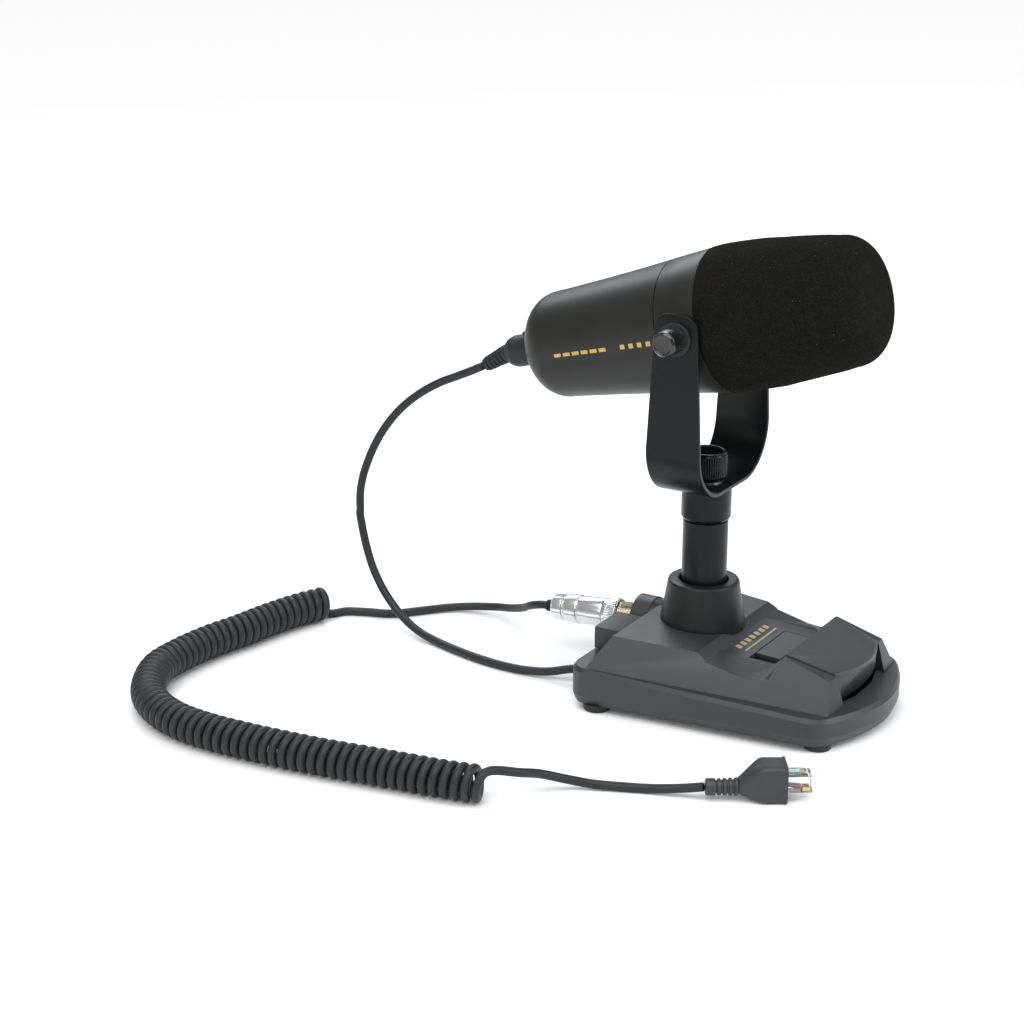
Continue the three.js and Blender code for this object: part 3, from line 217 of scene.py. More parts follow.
def tube(name, path, radius, sides, material=None):
    """A round tube: circles of radius r, square to the path, whose sideways axis is carried along without twist.

    Point = path(u) + r (cos v * side + sin v * over). UV = (v turns, u in metres)."""
    p = np.asarray(path, float)
    tangent = np.gradient(p, axis=0)
    tangent /= np.linalg.norm(tangent, axis=1)[:, None]
    side = np.zeros_like(p)
    first = np.cross(tangent[0], (0, 0, 1))
    side[0] = first / np.linalg.norm(first)
    for k in range(1, len(p)):
        moved = side[k - 1] - tangent[k] * (side[k - 1] @ tangent[k])
        side[k] = moved / np.linalg.norm(moved)
    over = np.cross(side, tangent)
    radii = np.broadcast_to(np.asarray(radius, float), len(p))[:, None, None]
    v = np.linspace(0, 2 * np.pi, sides, endpoint=False)[None, :, None]
    rings = p[:, None] + radii * (np.cos(v) * side[:, None] + np.sin(v) * over[:, None])
    points = np.vstack([rings.reshape(-1, 3), p[0], p[-1]])
    faces = [list(f) for f in grid_faces(len(p), sides)]
    last = (len(p) - 1) * sides
    start, end = len(points) - 2, len(points) - 1
    faces += [[start, (k + 1) % sides, k] for k in range(sides)]
    faces += [[end, last + k, last + (k + 1) % sides] for k in range(sides)]
    run = np.concatenate([[0], np.cumsum(np.linalg.norm(np.diff(p, axis=0), axis=1))])
    uv = np.stack(np.meshgrid(np.arange(sides) / sides, run), -1).reshape(-1, 2)
    uv = np.vstack([uv, [0, 0], [0, run[-1]]])
    return make_piece(name, points, faces, material, uv)


print("helpers for grids, smooth paths and tubes")

# %% [markdown]
# The microphone's lead leaves the plug behind the head, hangs down in one bow, lies along the
# table and goes into the base's rear wall. The plug tilts with the head and the base stays
# still. The lead is made as two tubes that meet halfway down: the upper lies between the head
# and the yoke, and the lower between the yoke and the base.
# %% The microphone's lead
CORD = 2.5
LEAD_UPPER = [
    (0, 148.2, 172.1), (0, 156, 168), (0, 166, 163.2), (-0.5, 178, 157.5), (-1, 193, 148),
    (-2, 206.5, 136), (-3, 219, 119.5), (-5, 227.5, 101), (-7, 231.5, 84), (-8.05, 231.4, 66.3),
]
LEAD_LOWER = [
    (-7.9, 231.75, 69.0), (-8.05, 231.4, 66.3), (-10, 226, 48.8), (-12, 219.5, 35), (-14.5, 209.5, 22),
    (-18, 196, 11.5),
    (-22, 181, 5.2), (-26.5, 163, 2.7), (-32, 145, 2.6), (-36, 128, 2.6), (-38, 111, 2.6),
    (-37.5, 96, 2.8), (-35.5, 82, 4.2), (-33, 69, 7.6), (-31, 58.4, 10),
]
upper_path = spline(at(LEAD_UPPER), 60)
lower_path = spline(at(LEAD_LOWER), 90)
lead_upper = tube("mic_lead_upper_cord", upper_path, CORD * MM, 20)
lead_lower = tube("mic_lead_lower_cord", lower_path, CORD * MM, 20)
print("microphone lead:", round(path_length(upper_path) + path_length(lower_path), 3), "m")

# %% [markdown]
# The radio lead is one cord 5 mm thick: a straight part out of the metal plug, then a long
# tight coil of about seventy turns that lies in a curve on the table, then a straight tail
# with the modular plug. The coil is a helix wound round its own centreline. Looking along it
# the cord turns to the left, and its turns open out a little at the two ends.
# %% The radio lead's path
RADIO_START = [
    (8, 106.5, 26.75), (8, 110.5, 26.4), (11.5, 120, 23), (20, 131, 16.5), (29, 145, 10.5),
    (36, 160, 6), (34, 177, 3.6), (26, 190, 2.8), (14, 201, 2.6), (0, 214, 2.6), (-5.5, 228, 2.6),
    (-11.5, 240.5, 2.6),
]
COIL = [
    (-20, 247), (-40, 255), (-64, 261), (-89.5, 265), (-113, 270), (-139, 272), (-161, 270.5),
    (-181, 261.5), (-197, 249.5),
    (-209, 233.5), (-217, 213.5), (-220, 191), (-220, 170.5), (-218.5, 145), (-216, 120), (-212.5, 96.5),
    (-209, 73),
    (-205.5, 48), (-200, 24),
]
TAIL = [
    (-187, 12, 15.2), (-176, 7.5, 11.4), (-165.5, -1.5, 6.6), (-157, -14, 3.2), (-150.5, -29, 2.6),
    (-144.5, -44.5, 2.9), (-140.2, -58, 4.6), (-137.2, -69.6, 7),
]
COIL_HALF = 10.35
TURNS = 70.5
PER_TURN = 26


def helix(points, half, turns, per_turn):
    """A cord wound round a centreline: centre(s) + R (cos a * side + sin a * up), with a from -90 degrees down.

    a falls by a whole turn per pitch, and the pitch is longer over the first and last turn."""
    centre = spline([(x, y, half + 0.1) for x, y in points], 2000)
    ahead = np.gradient(centre, axis=0)
    ahead /= np.linalg.norm(ahead, axis=1)[:, None]
    side = np.cross((0, 0, 1), ahead)
    u = np.linspace(0, 1, len(centre))
    rate = np.clip(np.minimum(u, 1 - u) * turns / 1.3, 0, 1)
    rate = 0.12 + 0.88 * rate * rate * (3 - 2 * rate)
    turned = np.concatenate([[0], np.cumsum((rate[1:] + rate[:-1]) / 2)])
    angle = -np.pi / 2 - 2 * np.pi * turns * turned / turned[-1]
    wanted = np.linspace(0, angle[-1] - angle[0], int(turns * per_turn)) + angle[0]
    u2 = np.interp(-wanted, -angle, u)
    c = np.stack([np.interp(u2, u, centre[:, k]) for k in range(3)], -1)
    s = np.stack([np.interp(u2, u, side[:, k]) for k in range(3)], -1)
    reach = half - CORD
    return c + reach * (np.cos(wanted)[:, None] * s + np.sin(wanted)[:, None] * np.array((0, 0, 1.0)))


wound = helix(COIL, COIL_HALF, TURNS, PER_TURN)
start = spline([*RADIO_START, wound[0], wound[3]], 110)
run_in = start[np.linalg.norm(start - wound[0], axis=1).argmin() :]
start = start[: len(start) - len(run_in)]
end = spline([wound[-4], wound[-1], *TAIL], 120)
end = end[np.linalg.norm(end - wound[-1], axis=1).argmin() + 1 :]
radio_path = at(np.vstack([start, wound, end]))
radio_cord = tube("radio_cord", radio_path, CORD * MM, 14)
print("radio lead:", round(path_length(radio_path), 3), "m, in", TURNS, "turns of the coil")

# %% [markdown]
# A finish is a shader with its own constants, and what varies over the surface comes from
# node groups that several finishes share. The first group gives the fine grain of moulded
# plastic and coated steel: a noise that tints the colour a little, changes the roughness and
# raises the surface. Its pattern is in millimetres on the object, so it never slides.
# %% Shared node group: grain
def new_group(name, inputs, outputs):
    """A shader node group with float or colour sockets, and its input and output nodes."""
    group = bpy.data.node_groups.new(name, "ShaderNodeTree")
    kinds = {"f": "NodeSocketFloat", "c": "NodeSocketColor", "v": "NodeSocketVector"}
    for label, kind, value in inputs:
        made = group.interface.new_socket(label, in_out="INPUT", socket_type=kinds[kind])
        if value is not None:
            made.default_value = value
    for label, kind in outputs:
        group.interface.new_socket(label, in_out="OUTPUT", socket_type=kinds[kind])
    return group, group.nodes.new("NodeGroupInput"), group.nodes.new("NodeGroupOutput")


def math_node(tree, kind, a, b=None, clamp=False):
    """A Math node whose inputs are sockets or numbers."""
    made = tree.nodes.new("ShaderNodeMath")
    made.operation = kind
    made.use_clamp = clamp
    for slot, value in zip(made.inputs, (a, b)):
        if value is None:
            continue
        if isinstance(value, (int, float)):
            slot.default_value = value
        else:
            tree.links.new(value, slot)
    return made.outputs[0]


def noise_node(tree, vector, scale, detail=2.0, roughness=0.5):
    """A noise texture at a scale that is a number or a socket."""
    made = tree.nodes.new("ShaderNodeTexNoise")
    made.inputs["Detail"].default_value = detail
    made.inputs["Roughness"].default_value = roughness
    tree.links.new(vector, made.inputs["Vector"])
    if isinstance(scale, (int, float)):
        made.inputs["Scale"].default_value = scale
    else:
        tree.links.new(scale, made.inputs["Scale"])
    return made.outputs["Fac"]


def mix_colour(tree, factor, a, b):
    """A colour between a and b, which are sockets or four numbers."""
    made = tree.nodes.new("ShaderNodeMix")
    made.data_type = "RGBA"
    tree.links.new(factor, made.inputs["Factor"])
    for label, value in (("A", a), ("B", b)):
        slot = [s for s in made.inputs if s.name == label and s.type == "RGBA"][0]
        if isinstance(value, tuple):
            slot.default_value = value
        else:
            tree.links.new(value, slot)
    return [s for s in made.outputs if s.type == "RGBA"][0]


grain, g_in, g_out = new_group(
    "grain",
    [("Vector", "v", None), ("Scale", "f", 2200.0), ("Tint", "c", (0.02, 0.02, 0.02, 1)),
        ("Shade", "c", (0.03, 0.03, 0.03, 1)),
     ("Roughness", "f", 0.4), ("Spread", "f", 0.08)],
    [("Color", "c"), ("Roughness", "f"), ("Height", "f")],
)
fine = noise_node(grain, g_in.outputs["Vector"], g_in.outputs["Scale"], 2.5, 0.6)
broad = noise_node(grain, g_in.outputs["Vector"], 38.0, 3.0, 0.55)
blotch = math_node(grain, "MULTIPLY", math_node(grain, "SUBTRACT", broad, 0.5), g_in.outputs["Spread"])
grain.links.new(mix_colour(grain, broad, g_in.outputs["Tint"], g_in.outputs["Shade"]), g_out.inputs["Color"])
tooth = math_node(grain, "MULTIPLY", math_node(grain, "SUBTRACT", fine, 0.5), g_in.outputs["Spread"])
rough = math_node(grain, "ADD", math_node(grain, "ADD", g_in.outputs["Roughness"], blotch), tooth, clamp=True)
grain.links.new(rough, g_out.inputs["Roughness"])
grain.links.new(fine, g_out.inputs["Height"])
print("group:", grain.name, "with", len(grain.nodes), "nodes")

# %% [markdown]
# One function makes every grained finish. It places the group, gives it this finish's own
# numbers, and joins its height to a bump that is as deep as the real grain: a few hundredths
# of a millimetre on plastic, less on a sprayed coat.
# %% Grained finishes
def grained(name, tint, shade, roughness, spread, scale, depth, metallic=0.0, coat=0.0, specular=0.5):
    """A material whose colour, roughness and bump come from the grain group, in object coordinates."""
    made = bpy.data.materials.new(name)
    made.use_nodes = True
    tree = made.node_tree
    shader = tree.nodes["Principled BSDF"]
    place = tree.nodes.new("ShaderNodeTexCoord")
    used = tree.nodes.new("ShaderNodeGroup")
    used.node_tree = grain
    tree.links.new(place.outputs["Object"], used.inputs["Vector"])
    used.inputs["Scale"].default_value = scale
    used.inputs["Tint"].default_value = (*tint, 1)
    used.inputs["Shade"].default_value = (*shade, 1)
    used.inputs["Roughness"].default_value = roughness
    used.inputs["Spread"].default_value = spread
    bump = tree.nodes.new("ShaderNodeBump")
    bump.inputs["Strength"].default_value = 1.0
    bump.inputs["Distance"].default_value = depth * MM
    tree.links.new(used.outputs["Height"], bump.inputs["Height"])
    tree.links.new(used.outputs["Color"], shader.inputs["Base Color"])
    tree.links.new(used.outputs["Roughness"], shader.inputs["Roughness"])
    tree.links.new(bump.outputs["Normal"], shader.inputs["Normal"])
    shader.inputs["Metallic"].default_value = metallic
    shader.inputs["Coat Weight"].default_value = coat
    shader.inputs["Coat Roughness"].default_value = 0.25
    shader.inputs["Specular IOR Level"].default_value = specular
    return made


plastic = grained("charcoal_plastic", (0.020, 0.0235, 0.0275), (0.030, 0.034, 0.039), 0.44, 0.14, 1500,
    0.05, specular=0.55)
key_plastic = grained("key_plastic", (0.024, 0.0285, 0.034), (0.034, 0.039, 0.046), 0.46, 0.14, 1350, 0.06,
    specular=0.6)
pole_coat = grained("pole_coat", (0.0035, 0.0045, 0.0055), (0.0060, 0.0072, 0.0085), 0.26, 0.08, 900, 0.006,
    specular=0.22)
boot_coat = grained("boot_rubber", (0.008, 0.0105, 0.0105), (0.013, 0.016, 0.016), 0.40, 0.10, 1300, 0.025,
    specular=0.3)
yoke_coat = grained("yoke_coat", (0.0045, 0.0052, 0.0060), (0.0075, 0.0083, 0.0092), 0.30, 0.10, 1100,
    0.012, specular=0.2)
shell_coat = grained("shell_coat", (0.0115, 0.0125, 0.0105), (0.0175, 0.0185, 0.0160), 0.40, 0.10, 1100,
    0.018, specular=0.34)
rubber = grained("black_rubber", (0.013, 0.0145, 0.0155), (0.020, 0.0215, 0.0225), 0.52, 0.12, 1200, 0.03,
    specular=0.35)
zinc = grained("zinc_plate", (0.38, 0.39, 0.40), (0.52, 0.52, 0.53), 0.38, 0.2, 420, 0.02, metallic=1.0)
nickel = grained("bright_nickel", (0.72, 0.73, 0.74), (0.82, 0.825, 0.83), 0.22, 0.08, 700, 0.003,
    metallic=1.0)
brass = grained("bare_brass", (0.66, 0.57, 0.40), (0.80, 0.74, 0.60), 0.24, 0.12, 900, 0.006, metallic=1.0)
steel_dark = grained("dark_steel", (0.05, 0.05, 0.052), (0.08, 0.08, 0.083), 0.36, 0.1, 800, 0.008,
    metallic=0.9)
laminate = grained("green_laminate", (0.006, 0.055, 0.02), (0.01, 0.085, 0.03), 0.3, 0.1, 500, 0.01, coat=0.4)
gold_ink = grained("gold_ink", (0.30, 0.23, 0.10), (0.42, 0.33, 0.16), 0.5, 0.1, 2500, 0.01)
print("grained finishes:", len(bpy.data.materials))

# %% [markdown]
# A cord's skin is soft PVC, smoother than the housings but never glossy. It is drawn through a
# die, so its faint marks run along the cord. The tube's UV gives the distance along the cord,
# which keeps the marks on the cord round every turn of the coil.
# %% Cord skin
def cord_skin(name, tint, shade):
    """A PVC skin: noise stretched along the cord's own length, from the tube's UV."""
    made = bpy.data.materials.new(name)
    made.use_nodes = True
    tree = made.node_tree
    shader = tree.nodes["Principled BSDF"]
    uv = tree.nodes.new("ShaderNodeUVMap")
    uv.uv_map = "UVMap"
    stretch = tree.nodes.new("ShaderNodeMapping")
    stretch.inputs["Scale"].default_value = (26, 160, 1)
    tree.links.new(uv.outputs["UV"], stretch.inputs["Vector"])
    marks = noise_node(tree, stretch.outputs["Vector"], 1.0, 3.0, 0.6)
    tree.links.new(mix_colour(tree, marks, (*tint, 1), (*shade, 1)), shader.inputs["Base Color"])
    rough = math_node(tree, "ADD", math_node(tree, "MULTIPLY", marks, 0.2), 0.36)
    tree.links.new(rough, shader.inputs["Roughness"])
    bump = tree.nodes.new("ShaderNodeBump")
    bump.inputs["Distance"].default_value = 0.03 * MM
    tree.links.new(marks, bump.inputs["Height"])
    tree.links.new(bump.outputs["Normal"], shader.inputs["Normal"])
    shader.inputs["Specular IOR Level"].default_value = 0.3
    return made


cord_pvc = cord_skin("cord_pvc", (0.018, 0.0195, 0.021), (0.026, 0.028, 0.030))
for piece in (lead_upper, lead_lower, radio_cord):
    piece.data.materials.append(cord_pvc)
print("cord skin on three tubes")


def soften(profile, size, closed=False, steps=3):
    """Rounds a profile's corners: near each corner P the line bends along (1-t)^2 A + 2t(1-t) P + t^2 B."""
    p = np.asarray(profile, float)
    out = []
    count = len(p)
    for k in range(count):
        if not closed and k in (0, count - 1):
            out.append(p[k])
            continue
        back, ahead = p[k - 1] - p[k], p[(k + 1) % count] - p[k]
        lb, la = np.linalg.norm(back), np.linalg.norm(ahead)
        bend = math.acos(max(-1.0, min(1.0, -(back @ ahead) / (lb * la))))
        if bend < math.radians(14):
            out.append(p[k])
            continue
        a = p[k] + back / lb * min(size, lb * 0.4)
        b = p[k] + ahead / la * min(size, la * 0.4)
        for t in np.linspace(0, 1, steps + 1):
            out.append((1 - t) ** 2 * a + 2 * t * (1 - t) * p[k] + t * t * b)
    return np.array(out)


def axes_of(axis):
    """Two directions square to an axis, so that side, over and axis make a right-handed set."""
    a = np.asarray(axis, float) / np.linalg.norm(axis)
    side = np.cross(a, (0, 0, 1)) if abs(a[2]) < 0.9 else np.array((1.0, 0, 0))
    side /= np.linalg.norm(side)
    return side, np.cross(a, side), a


def turned(profile, origin=(0, 0, 0), axis=(0, 0, 1), sides=96, closed=False, ripple=None):
    """Points (mm) and faces of a turned solid: origin + h axis + r (cos v side + sin v over).

    ripple(v, r, h) gives a change of radius. An open profile starts and ends on the axis."""
    side, over, ahead = axes_of(axis)
    p = np.asarray(profile, float)
    caps = not closed
    body = p[1:-1] if caps else p
    v = np.linspace(0, 2 * np.pi, sides, endpoint=False)
    r = np.repeat(body[:, :1], sides, 1)
    h = np.repeat(body[:, 1:2], sides, 1)
    if ripple:
        r = r + ripple(v[None, :], r, h)
    points = (h[..., None] * ahead + r[...,
        None] * (np.cos(v)[:, None] * side + np.sin(v)[:, None] * over)).reshape(-1, 3)
    faces = [list(f) for f in grid_faces(len(body), sides, wrap_rows=closed)]
    if caps:
        points = np.vstack([points, p[0, 1] * ahead, p[-1, 1] * ahead])
        n, last = len(points), (len(body) - 1) * sides
        faces += [[n - 2, (k + 1) % sides, k] for k in range(sides)]
        faces += [[n - 1, last + k, last + (k + 1) % sides] for k in range(sides)]
    area = sum(a[0] * b[1] - b[0] * a[1] for a, b in zip(p, np.roll(p, -1, 0)))
    if area < 0:
        faces = [f[::-1] for f in faces]
    return points + np.asarray(origin, float), faces


def joined(*parts):
    """Several (points, faces) pairs as one pair, with the faces renumbered."""
    points, faces, offset = [], [], 0
    for p, f in parts:
        points.append(np.asarray(p, float))
        faces += [[k + offset for k in face] for face in f]
        offset += len(p)
    return np.vstack(points), faces


def piece_of(name, parts, material, body, stands_for=(), crease=35):
    """Makes one object from (points in mm, faces) pairs, sharp past an angle, that rides on a body."""
    points, faces = joined(*parts)
    made = make_piece(name, at(points), faces, material)
    made.data.set_sharp_from_angle(angle=math.radians(crease))
    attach(made, body)
    if stands_for:
        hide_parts(*stands_for)
    return made


def knurl(count, depth, low, high, least):
    """A ripple of round-topped ridges on the part of a turned piece between two heights, outside a radius."""
    return lambda v, r, h: depth * (np.abs(np.sin(count * v / 2)) - 1.0) * ((h > low) & (h < high) & (r > least))


print("helpers for turned parts")

# %% [markdown]
# The post is a plain steel tube, and a collar screwed into its top carries the yoke. The boot
# is a rubber cone pushed over the post's foot. Its rim is a rounded lip and inside it the
# post disappears into a dark gap, which only shows if the gap is really there.
# %% Post, collar and boot
post = piece_of(
    "post",
    [turned(soften([(13.0, 20), (13.0, 103.7), (11.2, 103.7), (11.2, 20)], 0.4, True), sides=128,
        closed=True)],
    pole_coat, "base", ["pole_tube"],
)
collar = piece_of(
    "post_collar",
    [turned(soften([(0, 89.7), (10.9, 89.7), (10.9, 104.2), (13.0, 104.2), (14.3, 106.0), (14.3, 123.0),
        (13.7, 123.6), (0, 123.6)], 0.35), sides=128)],
    pole_coat, "base", ["pole_collar"],
)
boot_profile = [
    (14.0, 37.5), (24.5, 37.5), (24.5, 43.5), (24.2, 45.2), (23.4, 49.5), (22.6, 54), (21.8, 58.8),
    (21.1, 63.2), (20.7, 66.0),
    (20.1, 67.3), (19.0, 67.7), (14.7, 67.7), (14.0, 67.0), (14.0, 64.9), (15.5, 62.6), (15.5, 46.4),
    (14.0, 44.4),
]
boot = piece_of("post_boot", [turned(soften(boot_profile, 0.5, True), sides=144, closed=True)], boot_coat,
    "base", ["pole_boot"])
print("post parts:", [len(o.data.polygons) for o in (post, collar, boot)], "faces")

# %% [markdown]
# The barrel is two turned shells that meet at a thin groove: the long rear shell with its
# rounded end, and the front ring that holds the foam and the two pivot bosses. It leans, so
# its profile is turned about the leaning axis. Both shells are hollow, as the real ones are.
# %% Barrel
LEAN = math.radians(15.5)
HEAD_AXIS = np.array((0, -math.cos(LEAN), math.sin(LEAN)))
HEAD_UP = np.array((0, math.sin(LEAN), math.cos(LEAN)))
HEAD = np.array((0, 0, PIVOT_Z))


def shell_curve(inset):
    """The rear shell's outer line: a quarter round of radius 19 mm, then a slope that opens to the seam."""
    v = np.radians(np.linspace(-90, -5, 22))
    rounded = np.stack([11.9 + (19 - inset) * np.cos(v), -94.5 + (19 - inset) * np.sin(v)], -1)
    s = np.linspace(-89, -16.2, 24)
    r = np.interp(s, [-94.5, -80, -64, -42, -30, -16], [30.75, 31.95, 33.25, 35.25, 36.5, 38.15])
    smooth = np.convolve(np.pad(r, 3, mode="reflect", reflect_type="odd"), np.ones(7) / 7, "valid")
    return np.vstack([rounded, np.stack([smooth - inset, s], -1)])


outer, inner = shell_curve(0), shell_curve(2)
rear_profile = np.vstack([[(8.4, -113.5)], outer, inner[::-1], [(8.4, -111.5)]])
rear = piece_of(
    "barrel_rear", [turned(rear_profile, HEAD, HEAD_AXIS, 160, True)], shell_coat, "mic_head",
    ["rear_shell"], 50,
)
ring_profile = soften(
    [(35.0, -15.7), (38.2, -15.7), (39.55, -2.8), (40.8, 10.0), (32.2, 10.0), (32.2, 6.0), (37.0, 3.0),
        (36.2, -12.0)], 0.3, True,
)
boss = soften([(0, 36.5), (8.5, 36.5), (8.5, 42.8), (0, 42.8)], 0.5)
ring = piece_of(
    "barrel_ring",
    [turned(ring_profile, HEAD, HEAD_AXIS, 160, True), turned(boss, HEAD, (1, 0, 0), 64),
        turned(boss, HEAD, (-1, 0, 0), 64)],
    shell_coat, "mic_head",
)
print("barrel:", len(rear.data.polygons) + len(ring.data.polygons), "faces")

# %% [markdown]
# The windscreen is a cup of open-cell foam pushed over the grille. Foam has no edge at all:
# its corner is a wide round, it narrows slightly to the front, and its skin is a field of tiny
# open cells. The cells are too small to model one by one, so the form carries only the
# unevenness that shows on the outline, and the finish carries the cells.
# %% Foam windscreen
FOAM_SIDES = 240
rng = np.random.default_rng(7)
corner = np.radians(np.linspace(0, 90, 26))
foam_line = np.vstack([
    np.stack([np.interp(np.linspace(10.3, 83.5, 70), [10.3, 16, 40, 58, 76, 83.5],
        [41.1, 41.5, 41.0, 39.3, 37.2, 36.0]), np.linspace(10.3, 83.5, 70)], -1),
    np.stack([20 + 16 * np.cos(corner), 83.5 + 16 * np.sin(corner)], -1)[1:],
    np.stack([np.linspace(19, 1.2, 14), np.full(14, 99.5)], -1),
])
foam_inner = np.array([(1.2, 91.5), (10, 91.5), (21, 91.2), (27, 86), (28.6, 80), (31, 58), (33, 36),
    (33.3, 10.3)])
foam_profile = np.vstack([[(0, 91.5)], foam_inner, [(39.9, 10.3)], foam_line, [(0, 99.5)]])


def foam_uneven(v, r, h):
    """Slow swells and a fine roughness of the outer skin, a tenth of a millimetre or two deep, from seeded waves."""
    swell = sum(
        a * np.sin(k * v + p + h * w)
        for a, k, p, w in zip((0.10, 0.07, 0.05, 0.05), (2, 5, 9, 14), rng.uniform(0, 6, 4),
            rng.uniform(0.02, 0.2, 4))
    )
    fine = rng.normal(0, 0.045, np.broadcast(v, r).shape)
    return np.where(r > 33.5, swell - 0.12 + fine, 0)


foam = piece_of(
    "foam_cover", [turned(foam_profile, HEAD, HEAD_AXIS, FOAM_SIDES, ripple=foam_uneven)], None, "mic_head",
    ["foam_windscreen"], 180,
)
print("foam:", len(foam.data.polygons), "faces")

# %% [markdown]
# Open-cell foam swallows light, because a ray that enters a cell bounces until it is lost. So
# its colour is nearly black with no gloss, and the cells are a Voronoi pattern 0.9 mm across
# whose holes are painted darker than their walls, as painted shade inside the cells. A few pale
# specks of lint sit on it, as they do on every foam.
# %% Foam finish
foam_black = bpy.data.materials.new("foam_black")
foam_black.use_nodes = True
tree = foam_black.node_tree
shader = tree.nodes["Principled BSDF"]
place = tree.nodes.new("ShaderNodeTexCoord").outputs["Object"]
cells = tree.nodes.new("ShaderNodeTexVoronoi")
cells.inputs["Scale"].default_value = 1150
tree.links.new(place, cells.inputs["Vector"])
clumps = noise_node(tree, place, 260, 3.0, 0.6)
height = math_node(tree, "ADD", cells.outputs["Distance"], math_node(tree, "MULTIPLY", clumps, 0.8))
# Cell holes painted darker than the walls: painted shade inside the cells.
cell_colour_painted_shade = mix_colour(tree, math_node(tree, "MULTIPLY", height, 0.75, clamp=True),
    (0.0009, 0.0009, 0.0007, 1), (0.0135, 0.0132, 0.0100, 1))
lint = tree.nodes.new("ShaderNodeTexVoronoi")
lint.inputs["Scale"].default_value = 330
tree.links.new(place, lint.inputs["Vector"])
near = math_node(tree, "LESS_THAN", lint.outputs["Distance"], 0.085)
chosen = tree.nodes.new("ShaderNodeSeparateColor")
tree.links.new(lint.outputs["Color"], chosen.inputs["Color"])
speck = math_node(tree, "MULTIPLY", near, math_node(tree, "GREATER_THAN", chosen.outputs["Red"], 0.90))
tree.links.new(mix_colour(tree, speck, cell_colour_painted_shade, (0.10, 0.095, 0.085, 1)), shader.inputs["Base Color"])
shader.inputs["Roughness"].default_value = 1.0
shader.inputs["Specular IOR Level"].default_value = 0.05
foam_bump = tree.nodes.new("ShaderNodeBump")
foam_bump.inputs["Distance"].default_value = 0.45 * MM
tree.links.new(height, foam_bump.inputs["Height"])
tree.links.new(foam_bump.outputs["Normal"], shader.inputs["Normal"])
foam.data.materials.append(foam_black)
print("foam finish with", len(tree.nodes), "nodes")

# %% [markdown]
# The yoke is one strip of sheet steel 2.5 mm thick, bent into a U. Its surface is a flat
# section with rounded edges carried along the U, whose width changes along the way: widest
# over the bends, narrower at the ears, and rounded off at the tips.
# %% Yoke strap
STRAP_TOP, STRAP_FLOOR, STRAP_HALF = 232.5, 124.4, 45.6
SHEET, BEND, TIP = 2.5, 30.0, 8.0


def strap_line():
    """The middle line of the sheet in X and Z with its outward normal: up one side, round two bends, up the other."""
    r = BEND - SHEET / 2
    cx, cz = STRAP_HALF - BEND, STRAP_FLOOR + BEND
    v = np.radians(np.linspace(0, 90, 33))
    tip_z = STRAP_TOP - TIP * (1 - np.cos(np.radians(np.linspace(4, 90, 14))))
    side_z = np.concatenate([tip_z, np.linspace(STRAP_TOP - TIP - 0.6, cz + 1, 30)])
    left = np.stack([np.full(len(side_z), -cx - r), side_z], -1)
    left_n = np.tile((-1.0, 0.0), (len(left), 1))
    bend = np.stack([-cx - r * np.cos(v), cz - r * np.sin(v)], -1)
    bend_n = np.stack([-np.cos(v), -np.sin(v)], -1)
    floor_x = np.linspace(-cx, 0, 12)[1:]
    floor_line = np.stack([floor_x, np.full(len(floor_x), cz - r)], -1)
    floor_n = np.tile((0.0, -1.0), (len(floor_line), 1))
    half, half_n = np.vstack([left, bend, floor_line]), np.vstack([left_n, bend_n, floor_n])
    flip = np.array((-1.0, 1.0))
    return np.vstack([half, half[-2::-1] * flip]), np.vstack([half_n, half_n[-2::-1] * flip])


line, normal = strap_line()
z = line[:, 1]
half_width = np.interp(z, [154.4, STRAP_TOP], [16.5, 12.6])
tip = np.clip(STRAP_TOP - z, 0, TIP)
half_width = half_width - TIP + np.sqrt(np.clip(TIP**2 - (TIP - tip) ** 2, 0, None))
edge = 0.55
t = np.radians(np.linspace(0, 90, 5))
quarter = np.stack([np.cos(t), np.sin(t)], -1) * edge
y_sign = np.array([1, -1, -1, 1])
n_sign = np.array([1, 1, -1, -1])
section = []
for k in range(4):
    c, s = (quarter[:, 0], quarter[:, 1]) if k % 2 == 0 else (quarter[::-1, 0], quarter[::-1, 1])
    section.append(np.stack([np.full(5, y_sign[k]), y_sign[k] * (c - edge),
        n_sign[k] * (SHEET / 2 - edge + s)], -1))
section = np.vstack(section)
flat = section[None, :, 0] * half_width[:, None] + section[None, :, 1]
thick = np.repeat(section[None, :, 2], len(line), 0)
strap = np.stack([
    line[:, None, 0] + normal[:, None, 0] * thick,
    flat,
    line[:, None, 1] + normal[:, None, 1] * thick,
], -1)
columns = len(section)
strap_faces = [list(f)[::-1] for f in grid_faces(len(line), columns)]
last_row = (len(line) - 1) * columns
strap_faces += [list(range(columns))[::-1], [last_row + k for k in range(columns)]]
piece_of("yoke_sheet", [(strap.reshape(-1, 3), strap_faces)], yoke_coat, "yoke", ["yoke_strap"], 60)
print("yoke:", len(strap_faces), "faces")

